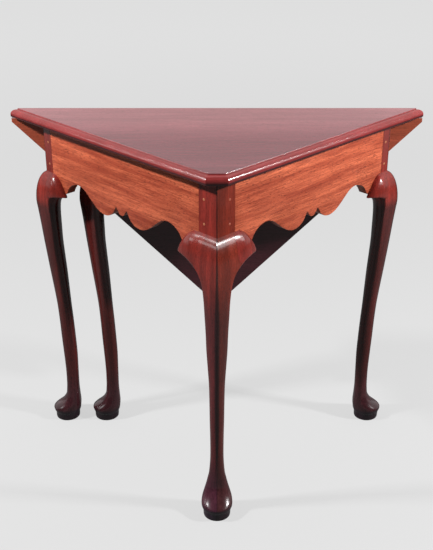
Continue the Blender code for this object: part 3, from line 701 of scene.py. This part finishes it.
class CORNERTABLE_OT_boards(bpy.types.Operator):
    """Add the moulded top and its hanging leaf"""
    bl_idname = "corner_table.boards"
    bl_label = "Boards"

    def execute(self, context):
        steps = context.scene.corner_table.edge_steps
        top = extruded_rings("moulded_top", board_rings(steps))
        leaf = extruded_rings("moulded_leaf", board_rings(steps, LEAF_EXTRA))
        hinge_pockets(top)
        hinge_pockets(leaf)
        mirror = about_point(Vector((0.0, LINE_Y, 0.0)), Matrix.Diagonal((1.0, -1.0, 1.0, 1.0)))
        hang = about_point(Vector((0.0, LINE_Y, HINGE_Z)), Matrix.Rotation(radians(-90.0), 4, "X"))
        apply_matrix(leaf, hang @ mirror)
        finish_piece(top, BOARD_SHARP_FROM, "top", "frame", "top_board")
        finish_piece(leaf, BOARD_SHARP_FROM, "leaf", "leaf", "drop_leaf")
        return {"FINISHED"}


# Legs: height, outer side, inner side and half width of the round sections
ROUND_SHARES = (
    (0.000, 0.855, -0.855, 0.855),
    (0.002, 0.866, -0.866, 0.866),
    (0.018, 0.885, -0.885, 0.885),
    (0.0255, 0.893, -0.893, 0.893),
    (0.0268, 0.905, -0.905, 0.905),
    (0.029, 0.943, -0.943, 0.943),
    (0.035, 0.983, -0.983, 0.983),
    (0.043, 1.000, -1.005, 1.000),
    (0.051, 0.840, -1.025, 0.995),
    (0.060, 0.590, -1.040, 0.965),
    (0.071, 0.350, -1.045, 0.900),
    (0.085, 0.150, -1.030, 0.810),
    (0.102, 0.000, -1.010, 0.710),
    (0.127, -0.055, -0.990, 0.595),
    (0.153, -0.080, -0.987, 0.500),
)

# The others have a half width with the knee's faces too, and the powers of their front and back
LEG_SHARES = (
    (0.208, -0.080, -1.000, 0.428, 0.428, 1.96, 2.00),
    (0.279, -0.020, -1.013, 0.430, 0.430, 1.82, 2.00),
    (0.347, 0.046, -0.970, 0.454, 0.454, 1.70, 2.00),
    (0.415, 0.100, -0.910, 0.468, 0.468, 1.58, 1.98),
    (0.483, 0.180, -0.835, 0.492, 0.492, 1.48, 1.96),
    (0.547, 0.310, -0.780, 0.562, 0.562, 1.40, 1.94),
    (0.614, 0.465, -0.720, 0.638, 0.638, 1.33, 1.92),
    (0.676, 0.600, -0.645, 0.675, 0.675, 1.27, 1.90),
    (0.739, 0.735, -0.572, 0.745, 0.735, 1.22, 1.88),
    (0.786, 0.825, -0.560, 0.810, 0.780, 1.18, 1.86),
    (0.831, 0.918, -0.552, 0.882, 0.860, 1.14, 1.84),
    (0.861, 0.987, -0.565, 0.912, 0.985, 1.06, 1.82),
    (0.880, 1.035, -0.600, 0.930, 1.130, 1.02, 1.80),
    (0.892, KNEE_OUT_SHARE, -0.650, 0.938, 1.290, 1.00, 1.78),
)
FRONT_FOOT_FORWARD = 0.006
FOOT_FORWARD_FADE = (0.10, 0.60)
DISC_ROWS = 4
KNEE_WIDEST_SHARE = 0.892
FULL_WING_SHARE = 0.907
BACK_STRAIGHT_SHARE = 0.950
KNEE_TO_POST_POWER = 0.7
SHOULDER_STEPS = 12
SHOULDER_TURN = radians(80.0)
KNEE_LEDGE = 0.0011
KNEE_ARRIS = 0.0005
LEDGE_TILT = 0.2
FACES_SQUARE_FROM = 0.45
FACES_SQUARE_BY = 0.75


def eased_share(value, low, high):
    """Rises smoothly from 0 to 1 between two values."""
    share = min(max((value - low) / (high - low), 0.0), 1.0)
    return share * share * (3.0 - 2.0 * share)


def shoulder_shares(turn):
    """How far up and how far back the shoulder's curve has gone."""
    back = (1.0 - cos(turn)) / (1.0 - cos(SHOULDER_TURN))
    return sin(turn) / sin(SHOULDER_TURN), back


def leg_stations(steps, wing_reach):
    """Sections up the leg, in metres but for the height; the wing reach is how far the faces run back."""
    rows = [(*row, row[3], 2.0, 2.0) for row in ROUND_SHARES] + list(LEG_SHARES)
    rows[DISC_ROWS:] = smooth_through(rows[DISC_ROWS:], steps)
    winged = wing_reach > 0.0
    stations = []
    for height, outer, inner, width, wing, front, back in rows:
        side = wing if winged else width
        ahead = FRONT_FOOT_FORWARD * (1.0 - eased_share(height, *FOOT_FORWARD_FADE)) if winged else 0.0
        furthest = max(KNEE_OUT_SHARE * PAD_RADIUS, PAD_RADIUS + ahead)
        stations.append((height, min(outer * PAD_RADIUS + ahead, furthest), inner * PAD_RADIUS + ahead,
                         width * PAD_RADIUS, side * PAD_RADIUS, front, back))
    knee = stations[-1]
    ledge_out = FOOT_SET_IN + KNEE_LEDGE * ROOT_TWO
    rows = []
    for step in range(1, SHOULDER_STEPS + 1):
        up, back = shoulder_shares(SHOULDER_TURN * step / SHOULDER_STEPS)
        highest = 1.0 - KNEE_ARRIS / KNEE_Z
        rows.append((KNEE_WIDEST_SHARE + (highest - KNEE_WIDEST_SHARE) * up,
                     knee[1] + (ledge_out - knee[1]) * back))
    rows.append((1.0, ledge_out - KNEE_ARRIS * ROOT_TWO))
    rows.append((1.0 + KNEE_ARRIS * LEDGE_TILT / KNEE_Z, FOOT_SET_IN))
    for height, outer in rows:
        back_in = eased_share(height, KNEE_WIDEST_SHARE, BACK_STRAIGHT_SHARE)
        rise = min((height - KNEE_WIDEST_SHARE) / (1.0 - KNEE_WIDEST_SHARE), 1.0)
        inner = knee[2] + (FOOT_SET_IN - 2.0 * POST_HALF - knee[2]) * back_in
        width = knee[3] + (POST_HALF - knee[3]) * rise ** KNEE_TO_POST_POWER
        out = (outer - FOOT_SET_IN) / ROOT_TWO
        full_wing = (wing_reach + out) / ROOT_TWO
        wing = knee[4] + (full_wing - knee[4]) * eased_share(height, KNEE_WIDEST_SHARE, FULL_WING_SHARE)
        if not winged:
            wing = width
        stations.append((height, outer, inner, width, wing, 1.0, 1.0 + (knee[6] - 1.0) * (1.0 - back_in)))
    stations.append(((FRAME_TOP - GAP) / KNEE_Z, FOOT_SET_IN, FOOT_SET_IN - 2.0 * POST_HALF,
                     POST_HALF, POST_HALF, 1.0, 1.0))
    return stations


def leg_section(station, count, extra=0.0):
    """A ring round the leg: toe's way, sideways, up. The front's two faces meet in a ridge."""
    height, outer, inner, width, wing, front, back = station
    square = eased_share(height, FACES_SQUARE_FROM, FACES_SQUARE_BY)
    outer = outer + extra
    inner = inner - extra
    side = wing + extra
    middle = (outer + inner) / 2.0
    middle += (outer - side - middle) * square
    ring = []
    for i in range(count):
        turn = 2.0 * pi * i / count
        along = cos(turn)
        across = sin(turn)
        power, reach = (front, outer - middle) if along > 0.0 else (back, middle - inner)
        ring.append((middle + copysign(abs(along) ** (2.0 / power), along) * reach,
                     copysign(abs(across) ** (2.0 / power), across) * side, height * KNEE_Z))
    return ring


def leg_matrix(foot_x, foot_y, toe_x, toe_y):
    """From a leg's own frame (toe's way, sideways, up) to its foot's place."""
    return Matrix((
        (toe_x, -toe_y, 0.0, foot_x),
        (toe_y, toe_x, 0.0, foot_y),
        (0.0, 0.0, 1.0, 0.0),
        (0.0, 0.0, 0.0, 1.0)))


REAR_FOOT_X = REAR_POST_X + POST_HALF - FOOT_SET_IN
REAR_FOOT_Y = LINE_Y - REAR_POST_Y
LEG_PLACES = {
    "front_leg": leg_matrix(0.0, LINE_Y - APRON_REACH + FOOT_SET_IN, 0.0, -1.0),
    "left_leg": leg_matrix(-REAR_FOOT_X, REAR_FOOT_Y, -1.0, 0.0),
    "right_leg": leg_matrix(REAR_FOOT_X, REAR_FOOT_Y, 1.0, 0.0),
    "swing_leg": leg_matrix(SWING_OFFSET - REAR_FOOT_X, REAR_FOOT_Y, -1.0, 0.0),
}
SEAT_LOW = FRAME_TOP - APRON_DEPTH + EAR_RISE - GAP
APRON_ENDS = {
    "front_leg": ((-1, POST_SIDE, -1), (1, POST_SIDE, -1)),
    "left_leg": ((-1, REAR_JOINT_S, 1),),
    "right_leg": ((1, REAR_JOINT_S, 1),),
    "swing_leg": (),
}
FRONT_SEAT_DEPTH = 0.056
REAR_SEAT_DEPTH = 0.046
BLOCK_SEAT_IN = 0.0090
SWING_FLUSH_RISE = 0.01


def cut_seats(piece, node, slack, low, high):
    """Cuts a piece past a leg's joints, between two heights and two ways out."""
    for side, joint, way in APRON_ENDS[node]:
        near, far = sorted((joint + way * slack, joint - way * POST_SIDE))
        cut_box(piece, (near, *low), (far, *high), face_matrix(side))


def cut_block_seats(piece, node, slack):
    """The knee's faces stop at the joint planes, where the knee blocks begin."""
    depth = FRONT_SEAT_DEPTH if node == "front_leg" else REAR_SEAT_DEPTH
    cut_seats(piece, node, slack, (KNEE_Z - depth, -BLOCK_SEAT_IN), (TOP_Z + GAP, POST_SIDE))


def cut_swing_post(piece):
    """The swing leg's post is flush with its rail in front, and the rail's end is let into it."""
    low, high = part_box("swing_fly_rail")
    post_low, post_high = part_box("swing_leg")
    flush_low = FRAME_TOP - POST_DROP + SWING_FLUSH_RISE
    cut_box(piece, (post_low[0] - POST_SIDE, LINE_Y - APRON_REACH, flush_low),
            (post_high[0] + POST_SIDE, low[1], TOP_Z))
    cut_box(piece, (low[0] - GAP, low[1] - POST_SIDE, low[2] - GAP),
            (low[0] + POST_SIDE * 2.0, high[1] + GAP, high[2] + GAP))


def leg_form(name, node, settings, extra=0.0):
    """A whole leg in its place, or a slightly thicker one to cut with."""
    stations = leg_stations(settings.leg_steps, POST_SIDE if node == "front_leg" else 0.0)
    leg = extruded_rings(name, [leg_section(station, settings.leg_points, extra) for station in stations])
    return apply_matrix(leg, LEG_PLACES[node])


class CORNERTABLE_OT_legs(bpy.types.Operator):
    """Add the four cabriole legs with their posts and pad feet"""
    bl_idname = "corner_table.legs"
    bl_label = "Legs"

    def execute(self, context):
        settings = context.scene.corner_table
        for node in LEG_PLACES:
            leg = leg_form("cabriole_" + node, node, settings)
            bevel_edges(leg, settings.arris, CARVED_ARRIS_FROM)
            cut_block_seats(leg, node, GAP / 2.0)
            cut_seats(leg, node, GAP, (SEAT_LOW, -APRON_THICK - GAP), (TOP_Z, GAP))
            if node == "swing_leg":
                cut_swing_post(leg)
            key = "front_leg" if node == "front_leg" else "rear_leg"
            finish_piece(leg, LEG_SHARP_FROM, key, body_of(node), node)
        return {"FINISHED"}


# Aprons: how far along from the middle and how deep the lower edge is
MIDDLE_LOBE_SHARES = ((0.0, 0.915), (0.030, 0.900), (0.071, 0.823))
OUTER_LOBE_SHARES = (
    (0.071, 0.823), (0.092, 0.862), (0.122, 0.930), (0.180, 0.984), (0.250, 1.000), (0.325, 0.972),
    (0.400, 0.905), (0.465, 0.830), (0.530, 0.762), (0.600, 0.732), (0.665, 0.742), (0.725, 0.785),
    (0.765, 0.840), (0.803, 0.925))
APRON_CURVE_STEPS = 10


def apron_outline():
    """The apron's face, along it and up, with both ends square."""
    low = []
    for shares in (MIDDLE_LOBE_SHARES, OUTER_LOBE_SHARES):
        curve = smooth_through(shares, APRON_CURVE_STEPS)
        low.extend((along * HALF_SPAN, FRAME_TOP - drop * APRON_DEPTH) for along, drop in curve[:-1])
    ear = FRAME_TOP - APRON_DEPTH + EAR_RISE
    low.append((OUTER_LOBE_SHARES[-1][0] * HALF_SPAN, ear))
    low.append((HALF_SPAN - GAP, ear))
    left_half = [(MIDDLE_S - along, up) for along, up in reversed(low[1:])]
    right_half = [(MIDDLE_S + along, up) for along, up in low]
    top = FRAME_TOP - GAP
    return left_half + right_half + [(right_half[-1][0], top), (left_half[0][0], top)]


class CORNERTABLE_OT_aprons(bpy.types.Operator):
    """Add the two scalloped aprons"""
    bl_idname = "corner_table.aprons"
    bl_label = "Aprons"

    def execute(self, context):
        arris = context.scene.corner_table.arris
        for word, side in (("left", -1), ("right", 1)):
            rings = [[(along, up, out) for along, up in apron_outline()] for out in (0.0, APRON_THICK)]
            apron = extruded_rings("scalloped_apron_" + word, rings)
            bevel_edges(apron, arris, CARVED_ARRIS_FROM)
            apply_matrix(apron, face_matrix(side) @ Matrix.Translation((0.0, 0.0, -APRON_THICK)))
            finish_piece(apron, BOARD_SHARP_FROM, "apron_" + word, "frame", word + "_apron")
        return {"FINISHED"}


# Knee blocks: how far along, out and in, then the upper and lower side of a front and a rear one
BLOCK_SHARES = (
    (-0.16, 1.00, 0.2, 0.000, 0.580, 0.000, 0.480),
    (-0.06, 1.00, 0.4, 0.000, 0.550, 0.000, 0.455),
    (0.13, 1.00, 0.6, 0.004, 0.490, 0.004, 0.425),
    (0.30, 0.97, 0.5, 0.022, 0.450, 0.022, 0.395),
    (0.56, 0.83, 0.2, 0.100, 0.425, 0.100, 0.370),
    (0.78, 0.60, 0.0, 0.216, 0.420, 0.210, 0.355),
    (0.915, 0.38, 0.0, 0.320, 0.422, 0.282, 0.350),
    (1.00, 0.18, 0.0, 0.400, 0.428, 0.325, 0.352),
)
FRONT_SIDES = slice(3, 5)
REAR_SIDES = slice(5, 7)
FRONT_BLOCK_REACH = 0.0525
REAR_BLOCK_REACH = 0.042
BLOCK_LENGTH = 0.120
BLOCK_OUT = (KNEE_OUT_SHARE * PAD_RADIUS - FOOT_SET_IN) / ROOT_TWO
BLOCK_IN = 0.014
BLOCK_STEPS = 10
BLOCK_SECTIONS = 5
LOWER_ROUND_SHARE = 0.12


def knee_block_section(along, top, low, out, under):
    """A knee block's section in the apron's frame: a dome with a rounded lower edge."""
    turn_low = low + (top - low) * LOWER_ROUND_SHARE
    ledge = min(KNEE_LEDGE, out / 2.0)
    arris = ledge * KNEE_ARRIS / KNEE_LEDGE
    ring = [(along, top, under), (along, top, ledge - arris)]
    for i in range(BLOCK_STEPS + 1):
        up, back = shoulder_shares(SHOULDER_TURN * (1.0 - i / BLOCK_STEPS))
        ring.append((along, turn_low + (top - arris - turn_low) * up, out + (ledge - out) * back))
    inward = min(out, turn_low - low)
    lower_steps = BLOCK_STEPS // 2
    for i in range(1, lower_steps + 1):
        turn = radians(90.0) * i / lower_steps
        down = turn_low - (turn_low - low) * sin(turn)
        ring.append((along, down, out - inward * (1.0 - cos(turn))))
    ring.append((along, low, under))
    return ring


class CORNERTABLE_OT_knee_blocks(bpy.types.Operator):
    """Add the carved blocks between the knees and the aprons"""
    bl_idname = "corner_table.knee_blocks"
    bl_label = "Knee blocks"

    def execute(self, context):
        settings = context.scene.corner_table
        for word, side in (("left", -1), ("right", 1)):
            for end, joint, reach, sides in (
                    ("front", POST_SIDE, FRONT_BLOCK_REACH, FRONT_SIDES),
                    ("rear", REAR_JOINT_S, -REAR_BLOCK_REACH, REAR_SIDES)):
                rings = []
                for row in smooth_through(BLOCK_SHARES, BLOCK_SECTIONS):
                    along, out, under = row[:3]
                    top, low = (KNEE_Z - share * BLOCK_LENGTH for share in row[sides])
                    rings.append(knee_block_section(
                        joint + along * reach, top, low, out * BLOCK_OUT, -GAP - under * BLOCK_IN))
                piece = extruded_rings(f"carved_{end}_{word}_knee_block", rings)
                apply_matrix(piece, face_matrix(side))
                cut_box(piece, (0.0, SEAT_LOW, -POST_SIDE), (REAR_CORNER_S, TOP_Z, GAP), face_matrix(side))
                node = "front_leg" if end == "front" else word + "_leg"
                leg_space = leg_form("leg_space", node, settings, GAP)
                cut_block_seats(leg_space, node, -GAP / 2.0)
                subtract(piece, leg_space)
                node = f"{end}_{word}_knee_block"
                finish_piece(piece, LEG_SHARP_FROM, "leg", "frame", node)
        return {"FINISHED"}


# Pegs
PEG_SIDES = 24
PEG_DOME = 0.0008
PEG_DOME_STEPS = 4
PEG_DOME_TURN = radians(80.0)
PEG_POINT = 0.2
PEG_POINT_RADIUS = 0.9


class CORNERTABLE_OT_pegs(bpy.types.Operator):
    """Add the domed pegs of the apron joints and the swing leg's joint"""
    bl_idname = "corner_table.pegs"
    bl_label = "Pegs"

    def execute(self, context):
        for node, cad in frame["nodes"].items():
            if "_peg_" not in node:
                continue
            points = [cad.matrix_world @ vertex.co for vertex in cad.data.vertices]
            middle = sum(points, Vector()) / len(points)
            side = 0.0 if node.startswith("swing") else -1.0 if "_left_" in node else 1.0
            axis = Vector((side, -1.0, 0.0)).normalized()
            reach = max((point - middle).dot(axis) for point in points)
            radius = max(((point - middle) - axis * (point - middle).dot(axis)).length for point in points)
            piece = extruded_rings("domed_" + node, peg_rings(middle, axis, reach, radius))
            key = "faint_peg" if node.startswith("front_right") else "peg"
            finish_piece(piece, PEG_SHARP_FROM, key, body_of(node), node)
        return {"FINISHED"}


def peg_rings(middle, axis, reach, radius):
    """Rings along a peg, from its chamfered inner end to its domed head."""
    up = Vector((0.0, 0.0, 1.0))
    across = axis.cross(up).normalized()
    rows = [(-reach, radius * PEG_POINT_RADIUS), (-reach + radius * PEG_POINT, radius),
            (reach - PEG_DOME, radius)]
    for i in range(1, PEG_DOME_STEPS + 1):
        turn = PEG_DOME_TURN * i / PEG_DOME_STEPS
        rows.append((reach - PEG_DOME + PEG_DOME * sin(turn), radius * cos(turn) ** 0.5))
    rings = []
    for along, wide in rows:
        ring = []
        for i in range(PEG_SIDES):
            turn = 2.0 * pi * i / PEG_SIDES
            side = across * wide * cos(turn) + up * wide * sin(turn)
            ring.append(tuple(middle + axis * along + side))
        rings.append(ring)
    return rings


# Pieces whose CAD shape is right get eased edges and their own finish
MERGE_WITHIN = 0.00001
FLAT_WITHIN = radians(0.5)
METAL_ARRIS = 0.0002


def eased_copy(node, body, key, arris):
    """Replaces a node by a copy with its coplanar faces joined and its edges eased."""
    name = "eased_" + node
    select_only(frame["nodes"][node])
    bpy.ops.object.duplicate()
    piece = bpy.context.object
    piece.name = name
    piece.data = piece.data.copy()
    piece.data.name = name
    edit_all()
    bpy.ops.mesh.remove_doubles(threshold=MERGE_WITHIN)
    bpy.ops.mesh.dissolve_limited(angle_limit=FLAT_WITHIN)
    bpy.ops.object.mode_set(mode="OBJECT")
    bevel_edges(piece, arris, SAWN_ARRIS_FROM)
    finish_piece(piece, EASED_SHARP_FROM, key, body, node)


class CORNERTABLE_OT_inner_frame(bpy.types.Operator):
    """Add the rails, buttons and glue blocks behind and under the table"""
    bl_idname = "corner_table.inner_frame"
    bl_label = "Inner frame"

    def execute(self, context):
        arris = context.scene.corner_table.arris
        for node in frame["nodes"]:
            if node.endswith("rail") or node.startswith("top_button"):
                eased_copy(node, body_of(node), "inner", arris)
            elif node.endswith("glue_block"):
                eased_copy(node, "frame", "inner_upright", arris)
        return {"FINISHED"}


class CORNERTABLE_OT_metalwork(bpy.types.Operator):
    """Add the leaf hinges, their pins and all the screws"""
    bl_idname = "corner_table.metalwork"
    bl_label = "Metalwork"

    def execute(self, context):
        for node in frame["nodes"]:
            if "screw" in node or node == "knuckle_pin":
                set_material(frame["nodes"][node], "steel")
            elif "hinge" in node:
                body = "leaf" if "leaf_plate" in node else "frame"
                eased_copy(node, body, "brass", METAL_ARRIS)
        return {"FINISHED"}


# Floor, light and camera
BACKGROUND = 0.745
ROOM_LIGHT = 0.035
BACKDROP_LIGHT = 0.72
BACKDROP_FADE = (-0.15, 0.30)
FLOOR_SHADE = 0.09
FLOOR_GLOWS = (0.60, 0.70)
FLOOR_GRADE = (0.6, 4.5)
FLOOR_MIRRORED = 0.04
FLOOR_HALF = 6.0

# Lamps: name, place, target, width, height and power
LAMPS = (
    ("left", (-1.98, -0.42, 2.08), (0.0, 0.0, 0.60), 0.22, 0.14, 98.0),
    ("right", (2.08, -0.42, 1.62), (0.0, 0.0, 0.60), 0.22, 0.14, 88.0),
    ("left_side", (-2.20, -0.12, 1.05), (0.0, -0.10, 0.55), 0.60, 0.30, 2.6),
    ("right_side", (2.20, -0.12, 1.05), (0.0, -0.10, 0.55), 0.60, 0.30, 2.6),
)


def mirrored_rays(tree, rays):
    """1 for rays that come from a shiny or clear surface."""
    return math_value(tree, "ADD", rays["Is Glossy Ray"], rays["Is Transmission Ray"])


def cleared_tree(owner):
    """The empty node tree of a world or material, and the kinds of rays in it."""
    owner.use_nodes = True
    tree = owner.node_tree
    tree.nodes.clear()
    return tree, add_node(tree, "LightPath").outputs


def studio_world():
    """A pale backdrop behind, a darker room in front, and the plain background for the camera."""
    world = bpy.data.worlds.new("studio")
    tree, rays = cleared_tree(world)
    parts = add_node(tree, "SeparateXYZ", {0: add_node(tree, "TexCoord").outputs["Generated"]})
    share = map_range(tree, parts.outputs["Y"], *BACKDROP_FADE)
    behind = mix_colours(tree, mirrored_rays(tree, rays), (BACKDROP_LIGHT,) * 3, (BACKGROUND,) * 3)
    room = mix_colours(tree, share, (ROOM_LIGHT,) * 3, behind)
    light = add_node(tree, "Background", {"Color": room})
    seen = add_node(tree, "Background", {"Color": (BACKGROUND, BACKGROUND, BACKGROUND, 1.0)})
    mix = add_node(tree, "MixShader", {
        0: rays["Is Camera Ray"], 1: light.outputs[0], 2: seen.outputs[0]})
    add_node(tree, "OutputWorld", {"Surface": mix.outputs[0]})
    bpy.context.scene.world = world


def floor_material():
    """A pale floor that shows the background's colour and a faint shadow."""
    material = bpy.data.materials.new("pale floor")
    tree, rays = cleared_tree(material)
    place = add_node(tree, "TexCoord").outputs["Object"]
    away = add_node(tree, "VectorMath", {0: place}, operation="LENGTH")
    grade = map_range(tree, away.outputs["Value"], *FLOOR_GRADE, *FLOOR_GLOWS)
    mirrored = scaled_value(tree, mirrored_rays(tree, rays), FLOOR_MIRRORED)
    seen = scaled_value(tree, rays["Is Camera Ray"], grade)
    strength = math_value(tree, "ADD", seen, mirrored)
    shade = (FLOOR_SHADE, FLOOR_SHADE, FLOOR_SHADE, 1.0)
    diffuse = add_node(tree, "BsdfDiffuse", {"Color": shade})
    glow = add_node(tree, "Emission", {"Strength": strength})
    both = add_node(tree, "AddShader", {0: diffuse.outputs[0], 1: glow.outputs[0]})
    add_node(tree, "OutputMaterial", {"Surface": both.outputs[0]})
    return material


class CORNERTABLE_OT_stage(bpy.types.Operator):
    """Add the pale floor, the studio light and the camera"""
    bl_idname = "corner_table.stage"
    bl_label = "Floor, light and camera"

    def execute(self, context):
        scene = context.scene
        studio_world()
        select_none()
        bpy.ops.mesh.primitive_plane_add(size=FLOOR_HALF * 2.0, location=(0.0, 0.0, FLOOR_Z))
        floor = context.object
        floor.name = "floor"
        floor.data.materials.append(floor_material())
        for name, place, target, wide, high, power in LAMPS:
            bpy.ops.object.light_add(type="AREA", location=place)
            lamp = context.object
            lamp.name = name + "_light"
            lamp.data.shape = "RECTANGLE"
            lamp.data.size = wide
            lamp.data.size_y = high
            lamp.data.energy = power
            lamp.rotation_euler = (Vector(target) - lamp.location).to_track_quat("-Z", "Y").to_euler()
        bpy.ops.object.camera_add(location=(0.0, LINE_Y - CAMERA_BACK, CAMERA_HIGH),
                                  rotation=(CAMERA_PITCH, 0.0, 0.0))
        camera = context.object
        camera.name = "photo_camera"
        camera.data.sensor_fit = "AUTO"
        camera.data.sensor_width = SENSOR_MM
        camera.data.lens = FOCAL_PIXELS * SENSOR_MM / PICTURE_HIGH
        camera.data.shift_x = (PICTURE_WIDE / 2.0 - CENTRE_PIXEL_X) / PICTURE_HIGH
        camera.data.shift_y = -PICTURE_RISE / PICTURE_HIGH
        scene.camera = camera
        scene.view_settings.view_transform = "Standard"
        return {"FINISHED"}


class CORNERTABLE_PT_panel(bpy.types.Panel):
    """The corner table's pieces and stage"""
    bl_idname = "CORNERTABLE_PT_panel"
    bl_label = "Corner table"
    bl_space_type = "VIEW_3D"
    bl_region_type = "UI"
    bl_category = "Corner table"

    def draw(self, context):
        settings = context.scene.corner_table
        for name in CornerTableSettings.__annotations__:
            self.layout.prop(settings, name)
        for operator in OPERATORS:
            self.layout.operator(operator.bl_idname)


OPERATORS = (
    CORNERTABLE_OT_boards,
    CORNERTABLE_OT_legs,
    CORNERTABLE_OT_aprons,
    CORNERTABLE_OT_knee_blocks,
    CORNERTABLE_OT_pegs,
    CORNERTABLE_OT_inner_frame,
    CORNERTABLE_OT_metalwork,
    CORNERTABLE_OT_stage,
)
CLASSES = (CornerTableSettings, *OPERATORS, CORNERTABLE_PT_panel)


def register():
    for cls in CLASSES:
        bpy.utils.register_class(cls)
    bpy.types.Scene.corner_table = bpy.props.PointerProperty(type=CornerTableSettings)


def unregister():
    del bpy.types.Scene.corner_table
    for cls in reversed(CLASSES):
        bpy.utils.unregister_class(cls)


def main():
    register()
    build_materials(bpy.context.scene.corner_table)
    bpy.ops.corner_table.boards()
    bpy.ops.corner_table.legs()
    bpy.ops.corner_table.aprons()
    bpy.ops.corner_table.knee_blocks()
    bpy.ops.corner_table.pegs()
    bpy.ops.corner_table.inner_frame()
    bpy.ops.corner_table.metalwork()
    bpy.ops.corner_table.stage()


if __name__ == "__main__":
    main()
